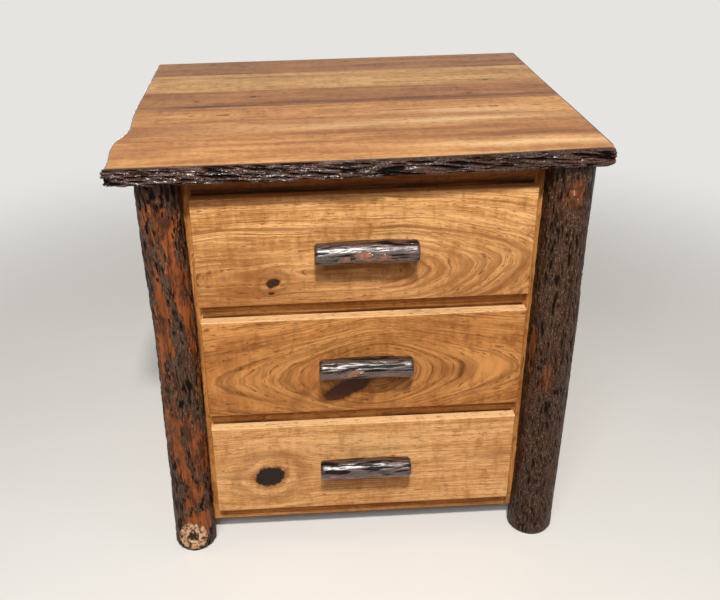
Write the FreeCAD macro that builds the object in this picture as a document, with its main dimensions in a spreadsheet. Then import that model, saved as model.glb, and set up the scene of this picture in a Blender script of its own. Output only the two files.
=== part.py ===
"""Rustic hickory table: a three-drawer case on four bark-on log legs, under a top with natural edges.

Origin at the bottom centre of the whole table, +Z up, drawers towards -Y, millimetres.
The natural edges make the top wider on the left of the case than on the right.
"""
import FreeCAD, Part
import os
import re
import Sketcher

SIZES = {
    # whole table
    "table_height": 711,
    "top_width": 700,
    "top_depth": 581.5,
    "top_thick": 24,
    "left_overhang": 92,
    "right_overhang": 76,
    "front_overhang": 61.5,
    "rear_overhang": 50,
    # natural edges of the top
    "front_bark_thick": 6,
    "side_bark_thick": 3,
    "bark_hang": 2,
    "edge_wander": 20,
    "corner_round": 5,
    "bark_return": 28,
    # case
    "foot_clear": 40,
    "side_thick": 19,
    "back_thick": 6,
    "back_rabbet": 9,
    "rail_thick": 19,
    "rail_high": 33,
    "top_rail_high": 44,
    "tenon_long": 8,
    "tenon_shoulder": 5,
    "runner_wide": 16,
    "runner_dado": 4,
    # legs
    "left_leg_head": 31.5,
    "left_leg_foot": 34.5,
    "left_leg_stand": 27,
    "right_leg_head": 34.5,
    "right_leg_foot": 37.5,
    "right_leg_stand": 31,
    "rear_leg_head": 32,
    "rear_leg_foot": 36,
    "rear_leg_stand": 28,
    "front_leg_out": 3.5,
    "rear_leg_in": 6,
    "leg_wander": 3,
    "stub_radius": 25,
    "stub_high": 29,
    "stub_long": 32,
    # drawer boxes
    "box_side_gap": 4,
    "carry_gap": 0.3,
    "kicker_gap": 3.7,
    "box_thick": 14,
    "box_rear_gap": 34.5,
    "box_back_thick": 12,
    "box_back_inset": 12,
    "box_dado": 5,
    "bottom_thick": 6,
    "bottom_lift": 10,
    "groove_deep": 6,
    "panel_play": 0.3,
    "tail_root": 30,
    "tail_flare": 4,
    # drawer fronts
    "front_lap": 3,
    "front_gap": 0.5,
    "front_thick": 16,
    "arris_round": 1.5,
    # drawer stops
    "stop_wide": 24,
    "stop_drop": 22,
    "stop_grip": 24,
    "stop_thick": 9,
    # pulls
    "pull_radius": 17,
    "pull_stand": 28,
    "pull_wander": 1.5,
    "lower_pull_long": 147,
    "middle_pull_long": 144,
    "upper_pull_long": 150,
    "lower_pull_lift": 16,
    "middle_pull_lift": 12,
    "upper_pull_lift": 8,
    "post_radius": 7,
    "post_bite": 5,
    "post_spread": 98,
    # screws
    "drill_clear": 0.1,
    "leg_screw_long": 44,
    "leg_screw_radius": 2.5,
    "leg_screw_head": 4.5,
    "leg_screw_in": 8,
    "top_screw_long": 40,
    "top_screw_radius": 2.5,
    "top_screw_head": 4.5,
    "top_screw_bite": 14,
    "stop_screw_long": 21,
    "stop_screw_radius": 2,
    "stop_screw_head": 4,
    "front_screw_long": 24,
    "front_screw_radius": 2,
    "front_screw_head": 4,
    "front_screw_in": 60,
    "pull_screw_long": 52,
    "pull_screw_radius": 2,
    "pull_screw_head": 4,
    "screw_head_high": 2.5,
    # one overrun serves every cut
    "overrun": 5,
}

# Places worked out from the sizes, each used by several pieces
PLACES = {
    "case_width": "top_width - left_overhang - right_overhang",
    "case_depth": "top_depth - front_overhang - rear_overhang",
    "case_left": "left_overhang - top_width / 2",
    "case_right": "case_left + case_width",
    "case_middle": "case_left + case_width / 2",
    "pull_reach": "front_gap + front_thick + pull_stand + pull_radius - front_overhang",
    "top_front": "(pull_reach - top_depth) / 2",
    "case_front": "top_front + front_overhang",
    "case_back": "case_front + case_depth",
    "case_top": "table_height - top_thick",
    "case_high": "case_top - foot_clear",
    "inner_left": "case_left + side_thick",
    "inner_right": "case_right - side_thick",
    "inner_wide": "case_width - 2 * side_thick",
    "rail_rear": "case_front + rail_thick",
    "rear_rail_front": "case_back - back_thick - rail_thick",
    "top_rail_low": "case_top - top_rail_high",
    "pitch": "(top_rail_low - foot_clear) / 3",
    "opening_high": "pitch - rail_high",
    "runner_long": "rear_rail_front - rail_rear",
    "front_rear": "case_front - front_gap",
    "front_face": "front_rear - front_thick",
    "front_high": "opening_high + 2 * front_lap",
    "front_wide": "inner_wide + 2 * front_lap",
    "box_left": "inner_left + box_side_gap",
    "box_wide": "inner_wide - 2 * box_side_gap",
    "box_high": "opening_high - carry_gap - kicker_gap",
    "box_long": "case_depth + front_gap - back_thick - box_rear_gap",
    "box_inside_rear": "box_long - box_back_inset - box_back_thick",
    "pull_axis": "front_face - pull_stand",
    "front_leg_y": "case_front - front_leg_out",
    "rear_leg_y": "case_back - rear_leg_in",
}

# Shares of the natural edges: how far along the edge, and how much of the wander it lies inside
LEFT_EDGE_SHARES = (
    (1.0, 0.7), (0.92, 0.67), (0.74, 0.62), (0.53, 0.51), (0.385, 0.58), (0.27, 0.64), (0.23, 0.36),
    (0.2, 0.1), (0.165, 0.0), (0.105, 0.1),
)
FRONT_EDGE_SHARES = ((0.19, 0.0), (0.38, 0.0), (0.54, 0.03), (0.67, 0.13), (0.81, 0.32), (0.93, 0.54))
RIGHT_EDGE_SHARES = ((0.14, 0.0), (0.31, 0.0), (0.46, 0.04), (0.65, 0.08), (0.85, 0.07), (1.0, 0.06))
LEFT_CORNER_SHARES = (0.2, 0.02)
RIGHT_CORNER_SHARES = (0.0, 0.6)
# Bulge of the bark: share of its height, share of its thickness that it is drawn in
BARK_BULGE_SHARES = ((0.0, 0.45), (0.3, 0.0), (0.75, 0.0), (1.0, 0.3))
# Depths of the glued boards of the top, from the front, as shares of the depth
TOP_BOARD_SHARES = (0.187, 0.147, 0.137, 0.169, 0.193, 0.167)
# Logs: share of the height, sideways wander, front-to-back wander, swelling of the radius
FRONT_LEFT_LOG_SHARES = (
    (0.0, -1.0, 0.0, 1.0), (0.2, -0.3, 0.5, 0.98), (0.42, 0.4, 0.9, 1.0),
    (0.62, 1.0, 0.4, 0.985), (0.82, 0.3, -0.2, 1.01), (1.0, 0.0, 0.0, 1.0),
)
FRONT_RIGHT_LOG_SHARES = (
    (0.0, 0.3, 0.0, 1.0), (0.2, 0.6, -0.4, 0.97), (0.42, 0.2, -0.7, 1.0),
    (0.62, 0.0, -0.3, 1.01), (0.82, -0.4, 0.3, 0.985), (1.0, -0.6, 0.0, 1.0),
)
REAR_LEFT_LOG_SHARES = (
    (0.0, 0.0, 0.4, 1.0), (0.25, -0.7, 0.0, 1.01), (0.5, -0.9, -0.5, 0.98),
    (0.75, 0.0, -0.3, 1.0), (1.0, 0.4, 0.0, 1.0),
)
REAR_RIGHT_LOG_SHARES = (
    (0.0, 0.2, -0.3, 1.0), (0.25, 0.8, 0.2, 0.98), (0.5, 0.4, 0.7, 1.0),
    (0.75, -0.4, 0.3, 1.01), (1.0, -0.5, 0.0, 1.0),
)
# Branch pulls: share of the length, wander up and out, swelling of the radius
PULL_SHARES = (
    (0.0, 0.1, -0.4, 0.94), (0.2, -0.3, 0.3, 0.97), (0.45, -0.2, 0.9, 0.96),
    (0.7, 0.0, 0.3, 1.0), (1.0, -0.2, -0.5, 0.95),
)
TOP_SCREW_SHARES = (0.2, 0.8)
LEG_SCREW_LEVELS = (0, 2)
DRAWER_NAMES = ("lower", "middle", "upper")
TAIL_COUNT = 3
LOG_SIDES = 18
PULL_SIDES = 12
SCREW_SIDES = 8

doc = FreeCAD.newDocument("rustic_hickory_table")
sheet = doc.addObject("Spreadsheet::Sheet", "Sizes")
for row, (alias, value) in enumerate(SIZES.items(), start=1):
    sheet.set("A%d" % row, alias)
    sheet.set("B%d" % row, str(value))
    sheet.setAlias("B%d" % row, alias)
doc.recompute()

pieces = []
corners = {}


def formula(words):
    """Writes named sizes and places as an expression on the sheet."""
    def swap(match):
        word = match.group(0)
        if word in PLACES:
            return "(" + formula(PLACES[word]) + ")"
        return "Sizes." + word
    return re.sub(r"[a-z]\w*", swap, words)


def bind(item, name, words):
    item.setExpression(name, formula(words))


def bind_all(item, names, all_words):
    for name, words in zip(names, all_words):
        bind(item, name, words)


def place(item, point):
    bind_all(item, ("Placement.Base.x", "Placement.Base.y", "Placement.Base.z"), point)


def keep(item, label):
    """Marks an object as a sub-part that is written under its label."""
    item.Label = label
    pieces.append(item)
    return item


def body_at(label, corner):
    body = doc.addObject("PartDesign::Body", label)
    place(body, corner)
    corners[body.Name] = corner
    return body


def inside(body, point):
    """A point of the table's frame in the body's own frame."""
    return ["(%s) - (%s)" % pair for pair in zip(point, corners[body.Name])]


def sketch_on(body, name, role, lift="0"):
    sketch = body.newObject("Sketcher::SketchObject", name)
    plane = [feature for feature in body.Origin.OriginFeatures if feature.Role == role][0]
    sketch.AttachmentSupport = [(plane, "")]
    sketch.MapMode = "FlatFace"
    bind(sketch, "AttachmentOffset.Base.z", lift)
    return sketch


def draw_polygon(sketch, points):
    """Adds a closed polygon whose corners are held at named distances from the sketch's origin."""
    count = len(points)
    first = sketch.GeometryCount
    step = FreeCAD.Rotation(FreeCAD.Vector(0, 0, 1), 360 / count)
    start = [FreeCAD.Vector(1, 0, 0)]
    for _ in points[1:]:
        start.append(step.multVec(start[-1]))
    for index in range(count):
        sketch.addGeometry(Part.LineSegment(start[index], start[(index + 1) % count]), False)
    for index in range(count):
        line, following = first + index, first + (index + 1) % count
        sketch.addConstraint(Sketcher.Constraint("Coincident", line, 2, following, 1))
        for kind, value, words in zip(("DistanceX", "DistanceY"), start[index][:2], points[index]):
            number = sketch.addConstraint(Sketcher.Constraint(kind, -1, 1, line, 1, value))
            bind(sketch, "Constraints[%d]" % number, words)


def pad(body, sketch, long):
    feature = body.newObject("PartDesign::Pad", sketch.Name + "_pad")
    feature.Profile = sketch
    bind(feature, "Length", long)
    return feature


def pocket(body, sketch, long, inward):
    feature = body.newObject("PartDesign::Pocket", sketch.Name + "_pocket")
    feature.Profile = sketch
    feature.Reversed = inward
    bind(feature, "Length", long)
    return feature


def board(label, corner, size):
    """A plain board: a rectangle seen from above, padded to its height."""
    body = body_at(label, corner)
    sketch = sketch_on(body, label + "_plan", "XY_Plane")
    wide, deep, high = size
    draw_polygon(sketch, [("0", "0"), (wide, "0"), (wide, deep), ("0", deep)])
    pad(body, sketch, high)
    return body


def block(body, kind, name, corner, size):
    """Adds or cuts a block; its corner is given in the table's frame."""
    feature = body.newObject("PartDesign::" + kind + "Box", name)
    bind_all(feature, ("Length", "Width", "Height"), size)
    place(feature, inside(body, corner))
    return feature


AXES = {
    "+x": FreeCAD.Rotation(FreeCAD.Vector(0, 1, 0), 90),
    "-x": FreeCAD.Rotation(FreeCAD.Vector(0, 1, 0), -90),
    "-y": FreeCAD.Rotation(FreeCAD.Vector(1, 0, 0), 90),
    "+z": FreeCAD.Rotation(),
}


def prism(owner, kind, name, at, axis, radius, high):
    """An eight-sided prism, the plain form of screws and of their holes."""
    item = owner.newObject(kind, name) if owner else doc.addObject(kind, name)
    item.Polygon = SCREW_SIDES
    item.Placement = FreeCAD.Placement(FreeCAD.Vector(), AXES[axis])
    bind_all(item, ("Circumradius", "Height"), (radius, high))
    place(item, at)
    return item


def drill(body, name, head, axis, kind, sink):
    """Cuts the clearance hole of one screw, with the recess of its head where sink is true."""
    at = inside(body, head)
    prism(body, "PartDesign::SubtractivePrism", name, at, axis,
          kind + "_radius + drill_clear", kind + "_long + drill_clear")
    if sink:
        prism(body, "PartDesign::SubtractivePrism", name + "_sink", at, axis,
              kind + "_head + drill_clear", "screw_head_high + drill_clear")


def screw(name, head, axis, kind):
    """A wood screw, the outer face of its head at the given point."""
    whole = doc.addObject("Part::Fuse", name)
    whole.Base = prism(None, "Part::Prism", name + "_head", head, axis, kind + "_head", "screw_head_high")
    whole.Tool = prism(None, "Part::Prism", name + "_shank", head, axis, kind + "_radius", kind + "_long")
    return whole


def group(label, members):
    """Identical pieces kept in one node as separate solids."""
    compound = doc.addObject("Part::Compound", label)
    compound.Links = members
    return keep(compound, label)


def size(name):
    return float(sheet.get(name))


def natural_outline(inset, height):
    """The closed outline of the top at one height, drawn in by a share of the bark's thickness."""
    wander, corner = size("edge_wander"), size("corner_round")
    reach = size("front_gap") + size("front_thick") + size("pull_stand") + size("pull_radius")
    reach -= size("front_overhang")
    left, front = -size("top_width") / 2, (reach - size("top_depth")) / 2
    side_in, front_in = inset * size("side_bark_thick"), inset * size("front_bark_thick")

    def left_point(along, stray):
        return FreeCAD.Vector(left + wander * stray + side_in, front + along, height)

    def right_point(along, stray):
        return FreeCAD.Vector(-left - wander * stray - side_in, front + along, height)

    def front_point(along, stray):
        return FreeCAD.Vector(left + along, front + wander * stray + front_in, height)

    def curve(points):
        line = Part.BSplineCurve()
        line.interpolate(points)
        return line.toShape()

    def corner_arc(start, end, tip):
        fall = 1 - 0.5 ** 0.5
        middle = tip + (start - tip) * fall + (end - tip) * fall
        return Part.Arc(start, middle, end).toShape()

    depth, width = size("top_depth"), size("top_width")
    left_stray, left_front_stray = LEFT_CORNER_SHARES
    right_stray, right_front_stray = RIGHT_CORNER_SHARES
    left_line = [left_point(share * depth, stray) for share, stray in LEFT_EDGE_SHARES]
    left_line.append(left_point(corner + wander * left_front_stray, left_stray))
    front_line = [front_point(corner + wander * left_stray, left_front_stray)]
    front_line += [front_point(share * width, stray) for share, stray in FRONT_EDGE_SHARES]
    front_line.append(front_point(width - corner - wander * right_stray, right_front_stray))
    right_line = [right_point(corner + wander * right_front_stray, right_stray)]
    right_line += [right_point(share * depth, stray) for share, stray in RIGHT_EDGE_SHARES]
    left_tip = FreeCAD.Vector(left_line[-1].x, front_line[0].y, height)
    right_tip = FreeCAD.Vector(right_line[0].x, front_line[-1].y, height)
    return Part.Wire([
        curve(left_line),
        corner_arc(left_line[-1], front_line[0], left_tip),
        curve(front_line),
        corner_arc(front_line[-1], right_line[0], right_tip),
        curve(right_line),
        Part.LineSegment(right_line[-1], left_line[0]).toShape(),
    ])


def make_top():
    """Boards glued edge to edge, cut to the natural outline, with bark on three edges."""
    under = size("table_height") - size("top_thick")
    low = under - size("bark_hang")
    high = size("table_height") - low
    blank = doc.addObject("Part::Feature", "top_blank")
    blank.Shape = Part.Face(natural_outline(1, under)).extrude(FreeCAD.Vector(0, 0, size("top_thick")))
    levels = [natural_outline(inset, low + share * high) for share, inset in BARK_BULGE_SHARES]
    core = Part.Face(natural_outline(1, low)).extrude(FreeCAD.Vector(0, 0, high))
    rim = doc.addObject("Part::Feature", "bark_rim")
    rim.Shape = Part.makeLoft(levels, True, True).cut(core)

    holes = doc.addObject("Part::Compound", "top_screw_holes")
    holes.Links = [
        prism(None, "Part::Prism", "top_screw_hole_%d" % number, head, "+z",
              "top_screw_radius + drill_clear", "top_screw_long + drill_clear")
        for number, head in enumerate(top_screw_heads())
    ]

    done = 0
    for number, share in enumerate(TOP_BOARD_SHARES, start=1):
        label = "top_board_%d" % number
        strip = doc.addObject("Part::Box", label + "_strip")
        bind_all(strip, ("Length", "Width", "Height"), ("top_width", "top_depth * %g" % share, "top_thick"))
        place(strip, ("-top_width / 2", "top_front + top_depth * %g" % done, "case_top"))
        done += share
        shaped = doc.addObject("Part::Common", label + "_shaped")
        shaped.Base, shaped.Tool = strip, blank
        drilled = doc.addObject("Part::Cut", label)
        drilled.Base, drilled.Tool = shaped, holes
        keep(drilled, label)

    seam = "top_front + bark_return"
    for side, corner, wide, deep in (
        ("front", ("-top_width / 2 - overrun", "top_front - overrun"), "top_width + 2 * overrun",
         "bark_return + overrun"),
        ("left", ("-top_width / 2 - overrun", seam), "top_width / 2", "top_depth"),
        ("right", ("overrun", seam), "top_width / 2", "top_depth"),
    ):
        label = side + "_bark_edge"
        reach = doc.addObject("Part::Box", label + "_reach")
        bind_all(reach, ("Length", "Width", "Height"), (wide, deep, "top_thick + 2 * overrun"))
        place(reach, corner + ("case_top - overrun",))
        strip = doc.addObject("Part::Common", label)
        strip.Base, strip.Tool = rim, reach
        keep(strip, label)


def log(name, start, lengthways, long, radius_at, sides, wander, shares):
    """A naturally bent, swelling round of wood, lofted through many-sided rings along its length."""
    rings = []
    for number, (share, across, aside, swell) in enumerate(shares):
        ring = doc.addObject("Part::RegularPolygon", "%s_ring_%d" % (name, number))
        ring.Polygon = sides
        ring.Placement = FreeCAD.Placement(FreeCAD.Vector(), AXES[lengthways])
        bind(ring, "Circumradius", "(%s) * %g" % (radius_at(share), swell))
        moves = ["(%s) * %g" % (long, share), "%s * %g" % (wander, across), "%s * %g" % (wander, aside)]
        if lengthways == "+z":
            moves = moves[1:] + moves[:1]
        place(ring, ["%s + %s" % pair for pair in zip(start, moves)])
        rings.append(ring)
    loft = doc.addObject("Part::Loft", name + "_log")
    loft.Sections = rings
    loft.Solid = True
    loft.Ruled = True
    return loft


def cut_away(base, name, tools):
    """The base less each of the tools."""
    bundle = doc.addObject("Part::Compound", name + "_cuts")
    bundle.Links = tools
    rest = doc.addObject("Part::Cut", name)
    rest.Base, rest.Tool = base, bundle
    return rest


def round_tool(name, at, axis, radius, high):
    tool = doc.addObject("Part::Cylinder", name)
    tool.Placement = FreeCAD.Placement(FreeCAD.Vector(), AXES[axis])
    bind_all(tool, ("Radius", "Height"), (radius, high))
    place(tool, at)
    return tool


def leg_screw_heads(side, end):
    """Heads of the screws of one leg, on the inner face of its side panel, and their direction."""
    face = "inner_left" if side == "left" else "inner_right"
    along = "case_front + leg_screw_in" if end == "front" else "case_back - back_thick - leg_screw_in"
    heads = [(face, along, "foot_clear + rail_high + opening_high / 2 + pitch * %d" % level)
             for level in LEG_SCREW_LEVELS]
    return heads, "-x" if side == "left" else "+x"


def make_leg(side, end, shares):
    """A bark-on log from the floor to the top, notched round the corner of the case."""
    label = "%s_%s_leg" % (end, side)
    kind = side if end == "front" else "rear"
    stand = kind + "_leg_stand"
    x_place = "case_left - " + stand if side == "left" else "case_right + " + stand
    y_place = end + "_leg_y"

    def radius_at(share):
        return "{0}_leg_foot + ({0}_leg_head - {0}_leg_foot) * {1:g}".format(kind, share)

    whole = log(label, (x_place, y_place, "0"), "+z", "case_top", radius_at, LOG_SIDES, "leg_wander", shares)
    if (side, end) == ("left", "front"):
        limb = doc.addObject("Part::Fuse", label + "_with_stub")
        limb.Base = whole
        limb.Tool = round_tool(label + "_stub", (x_place + " - leg_wander", y_place, "stub_high"), "-y",
                               "stub_radius", "stub_long")
        whole = limb
    reach = "2 * " + kind + "_leg_foot"
    notch = doc.addObject("Part::Box", label + "_notch")
    bind_all(notch, ("Length", "Width", "Height"), (reach, reach, "case_high + overrun"))
    place(notch, ("case_left" if side == "left" else "case_right - " + reach,
                  "case_front" if end == "front" else "case_back - " + reach, "foot_clear"))
    heads, axis = leg_screw_heads(side, end)
    holes = [prism(None, "Part::Prism", "%s_hole_%d" % (label, number), head, axis,
                   "leg_screw_radius + drill_clear", "leg_screw_long + drill_clear")
             for number, head in enumerate(heads)]
    keep(cut_away(whole, label, [notch] + holes), label)


def make_side_panel(side):
    """A case side: mortises for the rails, a rabbet for the back and holes for the leg screws."""
    label = side + "_side_panel"
    left = side == "left"
    body = board(label, ("case_left" if left else "inner_right", "case_front", "foot_clear"),
                 ("side_thick", "case_depth", "case_high"))
    rabbet_x = "inner_left - back_rabbet" if left else "inner_right"
    block(body, "Subtractive", label + "_rabbet", (rabbet_x, "case_back - back_thick", "foot_clear"),
          ("back_rabbet", "back_thick", "case_high"))
    mortise_x = "inner_left - tenon_long" if left else "inner_right"
    for name, (y_low, z_low, high) in RAILS.items():
        block(body, "Subtractive", "%s_%s_mortise" % (label, name),
              (mortise_x, y_low + " + tenon_shoulder", z_low + " + tenon_shoulder"),
              ("tenon_long", "rail_thick - 2 * tenon_shoulder", high + " - 2 * tenon_shoulder"))
    for end in ("front", "rear"):
        heads, axis = leg_screw_heads(side, end)
        for number, head in enumerate(heads):
            drill(body, "%s_%s_hole_%d" % (label, end, number), head, axis, "leg_screw", True)
    dado_x = "inner_left - runner_dado" if left else "inner_right"
    for level in range(len(DRAWER_NAMES) + 1):
        high = "rail_high" if level < len(DRAWER_NAMES) else "top_rail_high"
        block(body, "Subtractive", "%s_dado_%d" % (label, level),
              (dado_x, "rail_rear", "foot_clear + pitch * %d" % level), ("runner_dado", "runner_long", high))
    keep(body, label)


# Rails between the side panels: front face, lower edge and height
RAILS = {
    "bottom_front_rail": ("case_front", "foot_clear", "rail_high"),
    "lower_front_rail": ("case_front", "foot_clear + pitch", "rail_high"),
    "upper_front_rail": ("case_front", "foot_clear + 2 * pitch", "rail_high"),
    "top_front_rail": ("case_front", "top_rail_low", "top_rail_high"),
    "bottom_rear_rail": ("rear_rail_front", "foot_clear", "rail_high"),
    "top_rear_rail": ("rear_rail_front", "top_rail_low", "top_rail_high"),
}
STOP_RAILS = ("lower_front_rail", "upper_front_rail", "top_front_rail")


def stop_screw_head(level):
    z_place = "foot_clear + pitch * %d + stop_grip / 2" % (level + 1)
    return ("case_middle", "rail_rear + stop_thick", z_place)


def make_rail(name):
    """A rail with a stub tenon at each end."""
    y_low, z_low, high = RAILS[name]
    body = board(name, ("inner_left", y_low, z_low), ("inner_wide", "rail_thick", high))
    for end, x_place in (("left", "inner_left - tenon_long"), ("right", "inner_right")):
        block(body, "Additive", "%s_%s_tenon" % (name, end),
              (x_place, y_low + " + tenon_shoulder", z_low + " + tenon_shoulder"),
              ("tenon_long", "rail_thick - 2 * tenon_shoulder", high + " - 2 * tenon_shoulder"))
    if name in STOP_RAILS:
        drill(body, name + "_stop_hole", stop_screw_head(STOP_RAILS.index(name)), "-y", "stop_screw", False)
    keep(body, name)


def top_screw_heads():
    heads = []
    for x_place in ("inner_left + runner_wide / 2", "inner_right - runner_wide / 2"):
        for share in TOP_SCREW_SHARES:
            y_place = "rail_rear + runner_long * %g" % share
            heads.append((x_place, y_place, "case_top + top_screw_bite - top_screw_long"))
    return heads


def make_strip(label, side, level, high):
    """A runner or top cleat, housed in a dado of one side panel, from the front rail to the rear one."""
    x_place = "inner_left - runner_dado" if side == "left" else "inner_right - runner_wide"
    return board(label, (x_place, "rail_rear", "foot_clear + pitch * %d" % level),
                 ("runner_wide + runner_dado", "runner_long", high))


def make_top_cleat(side):
    """The cleat that holds the top; screws pass up through deep recesses in it."""
    label = side + "_top_cleat"
    body = make_strip(label, side, len(DRAWER_NAMES), "top_rail_high")
    heads = [head for head in top_screw_heads() if side in head[0]]
    for number, head in enumerate(heads):
        prism(body, "PartDesign::SubtractivePrism", "%s_recess_%d" % (label, number),
              inside(body, (head[0], head[1], "top_rail_low")), "+z", "top_screw_head + drill_clear",
              "case_top + top_screw_bite + screw_head_high - top_screw_long - top_rail_low")
        drill(body, "%s_top_hole_%d" % (label, number), head, "+z", "top_screw", False)
    keep(body, label)


def make_case():
    for side in ("left", "right"):
        make_side_panel(side)
        make_top_cleat(side)
    back = board("back_panel", ("inner_left - back_rabbet", "case_back - back_thick", "foot_clear"),
                 ("inner_wide + 2 * back_rabbet", "back_thick", "case_high"))
    keep(back, "back_panel")
    for name in RAILS:
        make_rail(name)
    for level, name in enumerate(DRAWER_NAMES):
        pair = [make_strip("%s_%s_runner" % (name, side), side, level, "rail_high") for side in ("left", "right")]
        group(name + "_drawer_runners", pair)
    group("top_screws", [screw("top_screw_%d" % number, head, "+z", "top_screw")
                         for number, head in enumerate(top_screw_heads())])
    leg_screws = []
    for side in ("left", "right"):
        for end in ("front", "rear"):
            heads, axis = leg_screw_heads(side, end)
            for number, head in enumerate(heads):
                name = "leg_screw_%s_%s_%d" % (side, end, number)
                leg_screws.append(screw(name, head, axis, "leg_screw"))
    group("leg_screws", leg_screws)


def make_stops():
    """Stop blocks fixed behind the rails; each hangs into the drawer below and catches its back."""
    stops, screws = [], []
    for level in range(len(STOP_RAILS)):
        label = "drawer_stop_%d" % level
        low = "foot_clear + pitch * %d - stop_drop" % (level + 1)
        body = body_at(label, ("case_middle - stop_wide / 2", "rail_rear", low))
        sketch = sketch_on(body, label + "_face", "XZ_Plane")
        high, nip = "stop_drop + stop_grip", "stop_wide / 4"
        draw_polygon(sketch, [
            (nip, "0"), ("stop_wide - " + nip, "0"), ("stop_wide", nip), ("stop_wide", high + " - " + nip),
            ("stop_wide - " + nip, high), (nip, high), ("0", high + " - " + nip), ("0", nip),
        ])
        pad(body, sketch, "stop_thick").Reversed = True
        drill(body, label + "_hole", stop_screw_head(level), "-y", "stop_screw", True)
        stops.append(body)
        screws.append(screw("stop_screw_%d" % level, stop_screw_head(level), "-y", "stop_screw"))
    group("drawer_stops", stops)
    group("stop_screws", screws)


def front_arrises(edge, box):
    """True for the edges of the outer face of a drawer front."""
    reach = edge.BoundBox
    return reach.YMax - box.YMin < box.YLength / 2


def round_edges(body, name, radius, wanted):
    """Rounds the edges of the finished body that the given test picks."""
    doc.recompute()
    base = body.Tip
    shape = base.Shape
    names = ["Edge%d" % number for number, edge in enumerate(shape.Edges, start=1)
             if wanted(edge, shape.BoundBox)]
    fillet = body.newObject("PartDesign::Fillet", name)
    fillet.Base = (base, names)
    bind(fillet, "Radius", radius)
    return fillet


def tail_points(number):
    """One dovetail in the side view of a drawer: wide at the front, narrow at its root."""
    middle = "box_high * %g" % ((number + 0.5) / TAIL_COUNT)
    wide = "tail_root / 2 + tail_flare"
    return [
        ("box_thick", middle + " + tail_root / 2"),
        ("0", middle + " + " + wide),
        ("0", middle + " - (" + wide + ")"),
        ("box_thick", middle + " - tail_root / 2"),
    ]


def make_box_side(label, side, low):
    """A drawer side with three dovetails at its front, a groove for the bottom and a dado for the back."""
    left = side == "left"
    x_place = "box_left" if left else "box_left + box_wide - box_thick"
    body = body_at(label, (x_place, "front_rear", low))
    sketch = sketch_on(body, label + "_profile", "YZ_Plane")
    points = [("box_long", "0"), ("box_long", "box_high"), ("box_thick", "box_high")]
    for number in reversed(range(TAIL_COUNT)):
        points += tail_points(number)
    draw_polygon(sketch, points + [("box_thick", "0")])
    pad(body, sketch, "box_thick")
    groove_x = "box_left + box_thick - groove_deep" if left else x_place
    block(body, "Subtractive", label + "_groove",
          (groove_x, "front_rear + box_thick - groove_deep", low + " + bottom_lift"),
          ("groove_deep", "box_long", "bottom_thick + panel_play"))
    dado_x = "box_left + box_thick - box_dado" if left else x_place
    block(body, "Subtractive", label + "_dado",
          (dado_x, "front_rear + box_inside_rear", low + " + bottom_lift"),
          ("box_dado", "box_back_thick", "box_high"))
    keep(body, label)


def front_screw_heads(low):
    return [("case_middle %s (box_wide / 2 - front_screw_in)" % sign, "front_rear + box_thick",
             low + " + box_high / 2") for sign in "-+"]


def pull_screw_heads(pull_height):
    return [("case_middle %s post_spread / 2" % sign, "front_rear + box_thick", pull_height) for sign in "-+"]


def make_box_front(label, low, pull_height):
    """The front of a drawer box: sockets at both ends receive the dovetails of the sides."""
    body = board(label, ("box_left", "front_rear", low), ("box_wide", "box_thick", "box_high"))
    for end, lift, inward in (("left", "0", True), ("right", "box_wide", False)):
        sketch = sketch_on(body, "%s_%s_sockets" % (label, end), "YZ_Plane", lift)
        for number in range(TAIL_COUNT):
            draw_polygon(sketch, tail_points(number))
        pocket(body, sketch, "box_thick", inward)
    block(body, "Subtractive", label + "_groove",
          ("box_left + box_thick - groove_deep", "front_rear + box_thick - groove_deep", low + " + bottom_lift"),
          ("box_wide - 2 * (box_thick - groove_deep)", "groove_deep", "bottom_thick + panel_play"))
    for number, head in enumerate(front_screw_heads(low)):
        drill(body, "%s_hole_%d" % (label, number), head, "-y", "front_screw", True)
    for number, head in enumerate(pull_screw_heads(pull_height)):
        drill(body, "%s_pull_hole_%d" % (label, number), head, "-y", "pull_screw", True)
    keep(body, label)


def make_drawer_front(label, front_low, low, pull_height):
    """The show front, laid over the opening and rounded along its outer arrises."""
    body = board(label, ("inner_left - front_lap", "front_face", front_low),
                 ("front_wide", "front_thick", "front_high"))
    round_edges(body, label + "_arrises", "arris_round", front_arrises)
    for number, head in enumerate(front_screw_heads(low)):
        drill(body, "%s_hole_%d" % (label, number), head, "-y", "front_screw", False)
    for number, head in enumerate(pull_screw_heads(pull_height)):
        drill(body, "%s_pull_hole_%d" % (label, number), head, "-y", "pull_screw", False)
    keep(body, label)


def make_pull(name, pull_height):
    """A bark-on branch held off the front by two turned posts."""
    label = name + "_pull"
    long = name + "_pull_long"
    start = ("case_middle - %s / 2" % long, "pull_axis", pull_height)
    branch = log(label, start, "+x", long, lambda share: "pull_radius", PULL_SIDES, "pull_wander", PULL_SHARES)
    cuts, posts = [], []
    post_long = "pull_stand - pull_radius + post_bite"
    for number, head in enumerate(pull_screw_heads(pull_height)):
        foot = (head[0], "front_face", pull_height)
        cuts.append(round_tool("%s_recess_%d" % (label, number), foot, "-y", "post_radius", post_long))
        hole = ("pull_screw_radius + drill_clear", "pull_screw_long + drill_clear")
        cuts.append(prism(None, "Part::Prism", "%s_hole_%d" % (label, number), head, "-y", *hole))
        post = round_tool("%s_post_%d_round" % (label, number), foot, "-y", "post_radius", post_long)
        post_hole = prism(None, "Part::Prism", "%s_post_%d_hole" % (label, number), head, "-y", *hole)
        posts.append(cut_away(post, "%s_post_%d" % (label, number), [post_hole]))
    keep(cut_away(branch, label, cuts), label)
    group(label + "_posts", posts)


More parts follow.
